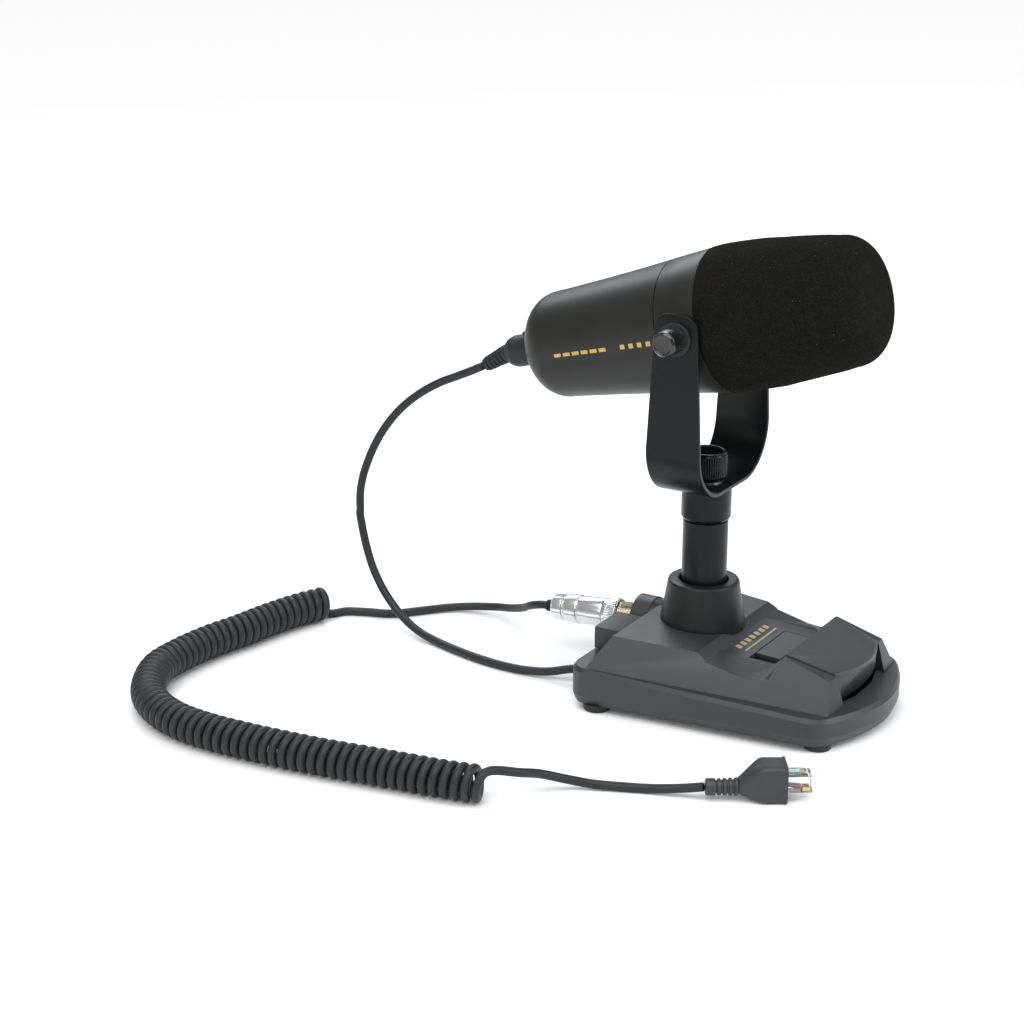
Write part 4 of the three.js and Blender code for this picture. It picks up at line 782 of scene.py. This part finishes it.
# %% [markdown]
# Each side of the yoke is clamped by a hand screw: a rubber washer, then a glossy knob with a
# fine knurl, a bright chamfer and a slightly hollow face. The nut that clamps the yoke to the
# post is a deep knurled cup. Its rim is thin, and the stud's end shows inside.
# %% Hand screws and the cup nut
screw_profile = soften(
    [(0, 37.1), (3, 37.1), (3, 47.7), (6.7, 47.7), (7.2, 48.3), (7.2, 57.6), (7.05, 58.4), (6.95, 59.6),
        (5.7, 61.0), (5.2, 60.9), (4.8, 60.5), (0, 60.4)], 0.22,
)
gloss_black = grained("gloss_black", (0.006, 0.006, 0.0065), (0.009, 0.009, 0.0095), 0.22, 0.08, 700, 0.005,
    coat=0.5, specular=0.45)
washer_profile = soften([(3.3, 45.65), (9.5, 45.65), (9.5, 47.6), (3.3, 47.6)], 0.35, True)
for side, word in ((-1, "left"), (1, "right")):
    piece_of(
        "hand_screw_" + word,
        [turned(screw_profile, HEAD, (side, 0, 0), 216, ripple=knurl(36, 0.35, 48.5, 57.5, 7.0))],
        gloss_black, "screw_" + word, ["tilt_screw_" + word], 40,
    )
    piece_of(
        "screw_washer_" + word, [turned(washer_profile, HEAD, (side, 0, 0), 80, True)], rubber, "yoke",
        ["tilt_washer_" + word],
    )
nut_profile = soften(
    [(4.3, 127.9), (10.3, 127.9), (10.3, 129.2), (10.7, 129.6), (11.2, 130.2), (11.2, 142.6), (10.7, 143.3),
        (10.5, 144.4), (9.0, 144.4),
     (8.5, 143.7), (7.9, 137.5), (4.3, 137.5)], 0.25, True,
)
piece_of(
    "cup_nut", [turned(nut_profile, sides=288, closed=True, ripple=knurl(48, 0.42, 130.3, 142.5, 10.9))],
    pole_coat, "thumb_nut", ["yoke_thumb_nut"], 40,
)
print("hand screws, washers and cup nut")

# %% [markdown]
# The base, the key and the lock slide are moulded. Their shapes are flat faces that meet at
# creases, and the frame already holds them exactly. What a moulding adds is a small radius at
# every crease, which is where the light catches. So each is a copy of the frame's own part,
# with its loose triangles merged, its flat faces joined, and its outer creases bevelled.
# %% Mouldings with rounded creases
def moulded(name, node, material, body, width, segments=3, least=24, shortest=1.0):
    """A copy of a frame part whose creases sharper than an angle, seen from outside, get a radius."""
    mesh = frame["nodes"][node].data.copy()
    mesh.name = name
    mesh.materials.clear()
    mesh.materials.append(material)
    work = bmesh.new()
    work.from_mesh(mesh)
    bmesh.ops.remove_doubles(work, verts=work.verts, dist=2e-6)
    bmesh.ops.dissolve_limit(work, angle_limit=math.radians(0.6), verts=work.verts, edges=work.edges)
    tree = BVHTree.FromBMesh(work)
    weight = work.edges.layers.float.new("bevel_weight_edge")
    chosen = 0
    for e in work.edges:
        if len(e.link_faces) != 2 or e.calc_length() < shortest * MM:
            continue
        if math.degrees(e.calc_face_angle(0)) < least or not e.is_convex:
            continue
        out = (e.link_faces[0].normal + e.link_faces[1].normal).normalized()
        middle = (e.verts[0].co + e.verts[1].co) / 2
        if out.z < -0.75 or tree.ray_cast(middle + out * 0.0004, out, 0.4)[0] is not None:
            continue
        e[weight] = 1.0
        chosen += 1
    for f in work.faces:
        f.smooth = True
    work.to_mesh(mesh)
    work.free()
    mesh.set_sharp_from_angle(angle=math.radians(26))
    made = bpy.data.objects.new(name, mesh)
    bpy.context.scene.collection.objects.link(made)
    bevel = made.modifiers.new("radius", "BEVEL")
    bevel.limit_method = "WEIGHT"
    bevel.width = width * MM
    bevel.segments = segments
    bevel.use_clamp_overlap = True
    bevel.harden_normals = True
    bevel.miter_outer = "MITER_ARC"
    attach(made, body)
    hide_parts(node)
    print(name, "has", chosen, "rounded creases")
    return made


moulded("base_moulding", "base_shell", plastic, "base", 0.55)
moulded("talk_key", "ptt_key", key_plastic, "key", 0.6)
moulded("slide_lock", "lock_slide", plastic, "lock", 0.3)

# %% [markdown]
# Behind the post the round housing of the socket runs into the deck as a short cone, and the
# slide's pocket has a plain floor, coloured lighter than the moulding as painted light in the
# deep pocket. Both are small closed forms that sit in the moulding.
# %% Housing's fairing and the pocket's floor
piece_of(
    "socket_fairing", [turned([(0, 0.5), (13.4, 0.5), (13.35, 2.0), (12.7, 6.0), (11.4, 10.5), (10.6, 13.0),
        (0, 13.0)], (8, 38.5, 32.5), (0, -1, 0), 96)],
    plastic, "base",
)


def box_of(origin, ax, ay, az, low, high):
    """The eight corners and six faces of a block along three directions, from a lowest to a highest corner."""
    corners = np.array([(x, y, z) for x in (low[0], high[0]) for y in (low[1], high[1]) for z in (low[2],
        high[2])])
    points = np.asarray(origin, float) + corners @ np.array([ax, ay, az], float)
    faces = [[0, 1, 3, 2], [4, 6, 7, 5], [0, 4, 5, 1], [2, 3, 7, 6], [0, 2, 6, 4], [1, 5, 7, 3]]
    return points, faces


X, UP = np.array((1.0, 0, 0)), np.array((0, 0, 1.0))
# The pocket floor is painted lighter and warmer than the charcoal moulding: painted light inside the deep pocket.
pocket_plastic = grained("pocket_plastic", (0.050, 0.046, 0.038), (0.066, 0.060, 0.050), 0.55, 0.1, 1500,
    0.03)
piece_of("pocket_floor", [box_of((0, 0, 0), X, (0, 1, 0), UP, (-28.3, -59.5, 31.0), (19.6, -43.2, 33.1))],
    pocket_plastic, "base")
print("fairing and pocket floor")

# %% [markdown]
# The key's roof is a plate with a lip that overhangs the curved front wall. The lip is a band
# carried along the front edge, which is a parabola: its y falls back with the square of x.
# %% The key's lip
def lip(reach=0.9, tall=3.0, inside=1.6, count=49):
    """A band along the key's front edge: at u from -1 to 1, x = half * u and y = nose + (corner - nose) u^2."""
    u = np.linspace(-1, 1, count)
    x, y = 29.5 * u, -102.6 + (-95.5 + 102.6) * u * u
    out = np.stack([2 * u * 7.1 / 29.5, -np.ones(count)], -1)
    out /= np.linalg.norm(out, axis=1)[:, None]
    top = np.full(count, 38.75)
    ring = [(reach - 0.5, 0.0), (reach, -0.5), (reach, -tall + 0.4), (reach - 0.4, -tall), (-inside, -tall),
        (-inside, -0.3)]
    rows = np.stack([np.stack([x + out[:, 0] * a, y + out[:, 1] * a, top + b], -1) for a, b in ring], 1)
    faces = [list(f) for f in grid_faces(count, len(ring))]
    faces += [list(range(len(ring))), [(count - 1) * len(ring) + k for k in range(len(ring))][::-1]]
    return rows.reshape(-1, 3), faces


lip_points, lip_faces = lip()
key_lip = piece_of("key_lip", [(lip_points, lip_faces)], key_plastic, "key")
key_lip_check = bmesh.new()
key_lip_check.from_mesh(key_lip.data)
bmesh.ops.recalc_face_normals(key_lip_check, faces=key_lip_check.faces)
key_lip_check.to_mesh(key_lip.data)
key_lip_check.free()
print("key lip:", len(lip_faces), "faces")

# %% [markdown]
# Four rubber feet stick out a little under the base. A foot is turned like the post, with a
# soft edge where it meets the table.
# %% Rubber feet
FEET = ["foot_rear_left", "foot_rear_right", "foot_front_left", "foot_front_right"]
for node in FEET:
    low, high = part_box(node)
    middle = ((low.x + high.x) / 2 / MM, (low.y + high.y) / 2 / MM - POST_Y, low.z / MM)
    tall = (high.z - low.z) / MM
    piece_of(
        node.replace("foot", "pad"), [turned(soften([(0, 0), (7.4, 0), (8, tall), (0, tall)], 0.5), middle,
            sides=64)], rubber, "base", [node],
    )
print("four feet")

# %% [markdown]
# The radio's plug is a standard round metal connector. From the base outwards: a brass thread,
# a knurled coupling ring, a plain barrel with a groove, a clamp with two small screws, and a
# ribbed rubber gland. The thread is a true helix: the ripple's phase moves on with the angle.
# %% Round plug
DROOP = math.radians(4.8)
SOCKET = np.array((8, 38.7, 32.5))
SOCKET_AXIS = np.array((0, math.cos(DROOP), -math.sin(DROOP)))


def helical(v, r, h):
    """A thread of pitch 1 mm: 0.32 mm times a cosine of height in turns minus the angle, faded at both ends."""
    fade = np.clip((h - 2.4) / 0.8, 0, 1) * np.clip((17.6 - h) / 0.8, 0, 1)
    return np.where(r > 7.2, 0.32 * fade * (np.cos(2 * np.pi * h - v) - 1), 0)


thread_rows = [(7.8, h) for h in np.linspace(2.3, 17.7, 124)]
thread_profile = np.vstack([[(6.2, 0.3), (10.2, 0.3), (10.2, 2.2)], thread_rows, [(7.3, 18.0), (6.2, 18.0)]])
piece_of("brass_thread", [turned(thread_profile, SOCKET, SOCKET_AXIS, 64, True, helical)], brass, "base",
    ["socket_thread"], 60)
ring_line = soften([(7.4, 18.5), (8.7, 18.5), (9.3, 19.2), (9.3, 25.6), (8.9, 26.1), (8.9, 27.2),
    (8.5, 28.0), (7.4, 28.0)], 0.2, True)
piece_of(
    "knurled_ring", [turned(ring_line, SOCKET, SOCKET_AXIS, 240, True, knurl(40, 0.35, 19.3, 25.5, 9.0))],
    nickel, "coupling", ["coupling_ring"], 40,
)
shell_line = soften(
    [(0, 11), (5.9, 11), (5.9, 26), (7.1, 26), (7.1, 28.3), (8.3, 28.3), (8.5, 29.2), (8.5, 44.2),
        (8.1, 44.5), (8.1, 45.3), (8.8, 45.6), (8.8, 53.2), (8.2, 54), (0, 54)], 0.2,
)
piece_of("plug_barrel", [turned(shell_line, SOCKET, SOCKET_AXIS, 128)], nickel, "base",
    ["round_plug_shell"], 40)
clamp_line = soften([(0, 54.3), (7, 54.3), (7, 55.7), (8, 55.9), (8, 61.6), (7.4, 62.6), (6.4, 63.5),
    (0, 63.5)], 0.25)


def flattened(v, r, h):
    """Two flats on the clamp: the radius never passes 7.1 mm times one over the cosine of the angle to the flat."""
    lean = np.abs(np.mod(v - np.pi / 2, np.pi) - np.pi / 2)
    limit = 7.3 / np.maximum(np.cos(np.pi / 2 - lean), 0.2)
    return np.where(h > 55.8, np.minimum(r, limit) - r, 0)


screws = []
for turn, height in ((-1, 57.4), (-1, 61.0), (1, 57.4), (1, 61.0)):
    middle = SOCKET + SOCKET_AXIS * height + np.array((turn * 6.6, 0, 0)) * 1.0
    screws.append(turned(soften([(0, 0), (1.25, 0), (1.2, 0.9), (0.5, 1.25), (0, 1.3)], 0.15), middle,
        (turn, 0, 0), 24))
piece_of("plug_clamp", [turned(clamp_line, SOCKET, SOCKET_AXIS, 128, ripple=flattened), *screws], nickel,
    "base", ["cord_clamp"], 40)
gland_line = soften([(0, 63.8), (3.9, 63.8), (3.9, 64.8), (3.1, 65.0), (3.1, 65.5), (3.8, 65.7),
    (3.8, 66.5), (3.0, 66.7), (3.0, 67.2), (3.6, 67.4), (3.5, 68.5), (0, 68.5)], 0.12)
gland = piece_of("plug_gland", [turned(gland_line, SOCKET, SOCKET_AXIS, 48)], rubber, "base",
    ["round_plug_gland"], 40)
grommet_line = soften([(2.9, -2), (4, -2), (4, 3), (5.5, 3.4), (5.2, 4.6), (4.4, 5.2), (4.4, 6), (2.9, 6)],
    0.3, True)
grommet = piece_of("inlet_grommet", [turned(grommet_line, (-31, 52, 10), (0, 1, 0), 64, True)], rubber,
    "base", ["lead_grommet"], 40)
print("round plug in seven pieces")

# %% [markdown]
# The plug behind the barrel is moulded rubber: a short round body with a latch on top, then a
# ribbed sleeve that bends down with the lead. The ribs let the sleeve flex, and they are
# rings with gaps between them.
# %% Lead plug behind the barrel
def ribbed(start, stop, r0, r1, ribs, depth, fill=0.62):
    """A profile of rings with gaps: the radius falls evenly, and drops by the depth between ribs."""
    pitch = (stop - start) / ribs
    rows = []
    for k in range(ribs):
        a, b = start + k * pitch, start + (k + fill) * pitch
        for h, drop in ((a, 0), (b, 0), (b + 0.08 * pitch, depth), (a + 0.95 * pitch, depth)):
            rows.append((np.interp(h, [start, stop], [r0, r1]) - drop, h))
    return rows


body_line = soften([(0, -135.5), (5.5, -135.5), (8.0, -133.5), (9.4, -129.5), (9.4, -114.4), (9.0, -113.8),
    (7.4, -113.8), (7.4, -111.5), (0, -111.5)], 0.7)
SLEEVE = -math.cos(math.radians(16.5)) * HEAD_AXIS - math.sin(math.radians(16.5)) * HEAD_UP
SLEEVE_FOOT = HEAD - 135.5 * HEAD_AXIS
sleeve_line = soften([(0, -2), (5.0, -2), *ribbed(1.0, 18.3, 5.5, 4.3, 6, 0.9), (3.9, 18.5), (0, 18.5)], 0.25)


latch = piece_of("lead_latch", [box_of(HEAD, X, HEAD_UP, HEAD_AXIS, (-2.6, 7.5, -122.5),
    (2.6, 11, -113.8))], rubber, "mic_head")
fit_latch = latch.modifiers.new("radius", "BEVEL")
fit_latch.width, fit_latch.segments = 0.7 * MM, 3
lead_plug = piece_of(
    "lead_plug", [turned(body_line, HEAD, HEAD_AXIS, 96), turned(sleeve_line, SLEEVE_FOOT, SLEEVE, 64)],
    rubber, "mic_head", ["mic_lead_plug"], 45,
)
print("lead plug and latch")

# %% [markdown]
# The other end of the radio lead is a modular plug under a soft hood. The hood is a loft: its
# sections go from a circle at the ribbed neck to a rounded box at the mouth. Each section is
# a superellipse, |x/a|^n + |z/b|^n = 1, whose power n grows from 2 to 7 along the hood.
# %% Modular plug's hood
HOOD = np.array((-137.2, -69.6, 7.0))
HOOD_AHEAD = np.array((0.54, -0.8417, 0.0))
HOOD_SIDE = np.array((-0.8417, -0.54, 0.0))
STATIONS = np.array([
    # y, half width, half height, middle height, power
    (18.2, 4.4, 4.4, 0.6, 2.0), (19.6, 5.3, 5.3, 0.9, 2.2), (21.5, 6.0, 6.3, 1.5, 2.5),
    (24.2, 7.0, 7.9, 2.4, 3.0),
    (27.2, 8.1, 9.4, 3.2, 4.0), (29.4, 8.8, 10.2, 3.5, 5.2), (31.2, 9.0, 10.4, 3.5, 6.5),
    (36.0, 9.0, 10.3, 3.5, 7.0),
    (41.6, 9.0, 10.2, 3.45, 7.0), (42.2, 9.4, 10.6, 3.45, 7.0), (43.2, 9.5, 10.7, 3.45, 7.0),
    (43.2, 8.3, 9.4, 3.45, 7.0), (41.0, 7.9, 9.0, 3.45, 7.0), (32.0, 7.4, 8.6, 3.45, 6.0),
])


def hood_shape(sides=96):
    """Sections carried along the hood: x = a sgn(cos) |cos|^(2/n), z = middle + b sgn(sin) |sin|^(2/n)."""
    v = np.linspace(0, 2 * np.pi, sides, endpoint=False)
    y, a, b, m, n = (STATIONS[:, k][:, None] for k in range(5))
    x = a * np.sign(np.cos(v)) * np.abs(np.cos(v)) ** (2 / n)
    z = m + b * np.sign(np.sin(v)) * np.abs(np.sin(v)) ** (2 / n)
    points = HOOD + x[..., None] * HOOD_SIDE + (y + 0 * x)[..., None] * HOOD_AHEAD + z[..., None] * UP
    points = points.reshape(-1, 3)
    faces = [list(f) for f in grid_faces(len(STATIONS), sides)]
    first, last = HOOD + 18.2 * HOOD_AHEAD + 0.6 * UP, HOOD + 32.0 * HOOD_AHEAD + 3.45 * UP
    points = np.vstack([points, first, last])
    n_all, base_row = len(points), (len(STATIONS) - 1) * sides
    faces += [[n_all - 2, (k + 1) % sides, k] for k in range(sides)]
    faces += [[n_all - 1, base_row + k, base_row + (k + 1) % sides] for k in range(sides)]
    return points, [f[::-1] for f in faces]


neck_line = soften([(0, 0.9), (4.2, 0.9), (4.6, 1.5), (4.6, 5.8), (4.2, 6.2), (3.5, 6.3), (3.5, 7.1),
    *ribbed(7.2, 19.2, 4.5, 4.9, 4, 0.95, 0.55), (4.2, 20.4), (0, 20.4)], 0.25)
hood_rubber = grained("hood_rubber", (0.026, 0.027, 0.030), (0.040, 0.041, 0.045), 0.48, 0.12, 1100, 0.03)
hood = piece_of("plug_hood", [hood_shape(), turned(neck_line, HOOD, HOOD_AHEAD, 64)], hood_rubber, "base",
    ["modular_hood"], 40)
print("hood:", len(hood.data.polygons), "faces")

# %% [markdown]
# The modular plug itself is clear plastic, so what is inside shows: eight coloured wires that
# spread from the cord, and eight gold blades at the tip. The clear body is one closed block
# with small radii, and the glass shader keeps a plain transmission value.
# %% Clear plug, wires and blades
clear = bpy.data.materials.new("clear_plastic")
clear.use_nodes = True
tree = clear.node_tree
shader = tree.nodes["Principled BSDF"]
shader.inputs["Base Color"].default_value = (0.86, 0.93, 0.95, 1)
shader.inputs["Transmission Weight"].default_value = 1.0
shader.inputs["IOR"].default_value = 1.46
place = tree.nodes.new("ShaderNodeTexCoord").outputs["Object"]
haze = noise_node(tree, place, 420, 2.0, 0.5)
tree.links.new(math_node(tree, "ADD", math_node(tree, "MULTIPLY", haze, 0.10), 0.03),
    shader.inputs["Roughness"])
PLUG_AXES = (HOOD_SIDE, HOOD_AHEAD, UP)
clear_plug = piece_of(
    "clear_plug",
    [box_of(HOOD, *PLUG_AXES, (-5.85, 33.2, -1.4), (5.85, 56.6, 7.8)),
        box_of(HOOD, *PLUG_AXES, (-3.0, 35.0, 7.9), (3.0, 53.0, 9.4))],
    clear, "base", ["modular_plug"],
)
clear_radius = clear_plug.modifiers.new("radius", "BEVEL")
clear_radius.width, clear_radius.segments = 0.35 * MM, 2
gold_blade = grained("gold_blade", (0.70, 0.50, 0.17), (0.82, 0.62, 0.26), 0.2, 0.08, 900, 0.003,
    metallic=1.0)
piece_of(
    "gold_blades",
    [box_of(HOOD, *PLUG_AXES, (x - 0.2, 51.6, -1.75),
        (x + 0.2, 55.4, 1.2)) for x in (np.arange(8) - 3.5) * 1.08], gold_blade, "base",
)
WIRES = [(0.75, 0.72, 0.66), (0.05, 0.32, 0.16), (0.70, 0.30, 0.05), (0.04, 0.10, 0.42), (0.10, 0.42, 0.30),
    (0.55, 0.53, 0.50), (0.16, 0.07, 0.03), (0.60, 0.07, 0.05)]
for k, colour in enumerate(WIRES):
    x = (k - 3.5) * 1.08
    line = spline([HOOD + x * f * HOOD_SIDE + y * HOOD_AHEAD + z * UP for f, y,
        z in ((0.35, 35, 3.0), (0.6, 39.5, 2.7), (1, 45.5, 1.7), (1, 51.2, 1.0))], 24)
    skin = grained("wire_skin_%d" % (k + 1), colour, tuple(c * 0.8 for c in colour), 0.4, 0.1, 900, 0.005)
    wire = tube("wire_%d" % (k + 1), at(line), 0.42 * MM, 10, skin)
    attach(wire, "base")
print("clear plug, eight wires, eight blades")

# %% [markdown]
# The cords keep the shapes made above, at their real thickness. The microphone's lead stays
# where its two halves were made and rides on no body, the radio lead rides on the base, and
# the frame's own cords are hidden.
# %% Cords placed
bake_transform(lead_upper)
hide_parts("mic_lead_upper")
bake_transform(lead_lower)
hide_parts("mic_lead_lower")
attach(radio_cord, "base")
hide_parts("radio_lead", "curly_coil", "plug_tail")

# %% [markdown]
# Two small rows of gold dashes decorate the deck behind the key, and two more run along the
# barrel's side. They are a thin print, so each dash is a very low closed block, and on the
# barrel the blocks follow the curve.
# %% Gold dashes
def floor_z(y):
    """Height of the deck's sloping floor between the post and the key: 38 mm at y -26, 36 mm at y -60."""
    return 38.0 + (y + 26) * 2.0 / 34


def dash(x0, x1, y0, y1, slant=0.0, lift=0.07):
    """A flat block on the deck's floor between two x and two y, its rear edge moved along x by the slant."""
    c = np.array([(x0, y0), (x1, y0), (x1 + slant, y1), (x0 + slant, y1)], float)
    z = floor_z(c[:, 1])
    points = np.vstack([np.column_stack([c, z - 0.3]), np.column_stack([c, z + lift])])
    return points, [[3, 2, 1, 0], [4, 5, 6, 7], [0, 1, 5, 4], [1, 2, 6, 5], [2, 3, 7, 6], [3, 0, 4, 7]]


deck_dashes = [dash(x, x + 3.6, -34.0, -30.0, 1.2) for x in np.linspace(-20, 15.5, 7)]
deck_dashes += [dash(-21, 20, -38.2, -37.0, 0.3)]
piece_of("deck_dashes", deck_dashes, gold_ink, "base")


def barrel_dash(s0, s1, a0, a1):
    """A block on the barrel between two heights along it and two angles round it, bent to the barrel's curve."""
    s, v = np.meshgrid(np.linspace(s0, s1, 6), np.radians(np.linspace(a0, a1, 5)), indexing="ij")
    line = shell_curve(0)[::-1]
    r = np.interp(s, line[::-1, 1], line[::-1, 0])

    def layer(extra):
        """The block's grid of points at the barrel's radius plus an extra height."""
        return (HEAD + s[..., None] * HEAD_AXIS + (r + extra)[...,
            None] * (np.cos(v)[..., None] * X + np.sin(v)[..., None] * HEAD_UP)).reshape(-1, 3)
    top = grid_faces(6, 5, wrap_columns=False).tolist()
    rim = [0, 1, 2, 3, 4, 9, 14, 19, 24, 29, 28, 27, 26, 25, 20, 15, 10, 5]
    faces = top + [[k + 30 for k in f[::-1]] for f in top]
    faces += [[rim[k], rim[k - 1], rim[k - 1] + 30, rim[k] + 30] for k in range(len(rim))]
    return np.vstack([layer(0.06), layer(-0.3)]), [f[::-1] for f in faces]


side_dashes = [barrel_dash(s, s + 4.6, 180.9, 184.4) for s in np.linspace(-86.5, -55.5, 6)]
side_dashes += [barrel_dash(s, s + 3.0, 180.2, 184.4) for s in np.linspace(-41, -23.5, 4)]
bright_gold = grained("bright_gold_ink", (0.50, 0.33, 0.06), (0.62, 0.43, 0.10), 0.42, 0.1, 2500, 0.01)
piece_of("barrel_dashes", side_dashes, bright_gold, "mic_head")
print("dashes:", len(deck_dashes) + len(side_dashes))

# %% [markdown]
# The frame's own small parts keep their shapes, and each gets the finish of its stuff: zinc
# for the plate and the ballast, laminate for the circuit board, dark steel for pins, springs
# and studs, bright metal for the capsule.
# %% Finishes for the frame's own parts
FINISH = {
    "zinc": zinc, "nickel": nickel, "brass": brass, "steel_black": steel_dark, "board": laminate,
    "rubber": rubber, "plastic": plastic,
    "shell_coat": shell_coat, "foam": foam_black, "cord_pvc": cord_pvc, "clear": clear,
}
OWN_FINISH = {
    "key_switch": gloss_black, "circuit_board": laminate, "ballast_weight": zinc, "bottom_plate": zinc,
    "microphone_capsule": nickel,
}
for name, node in frame["nodes"].items():
    words = node.data.materials[0].name if node.data.materials else ""
    finish = next((made for slot, made in FINISH.items() if slot in words), steel_dark)
    node.data.materials.clear()
    node.data.materials.append(OWN_FINISH.get(name, finish))
print("finishes on", len(frame["nodes"]), "frame parts")
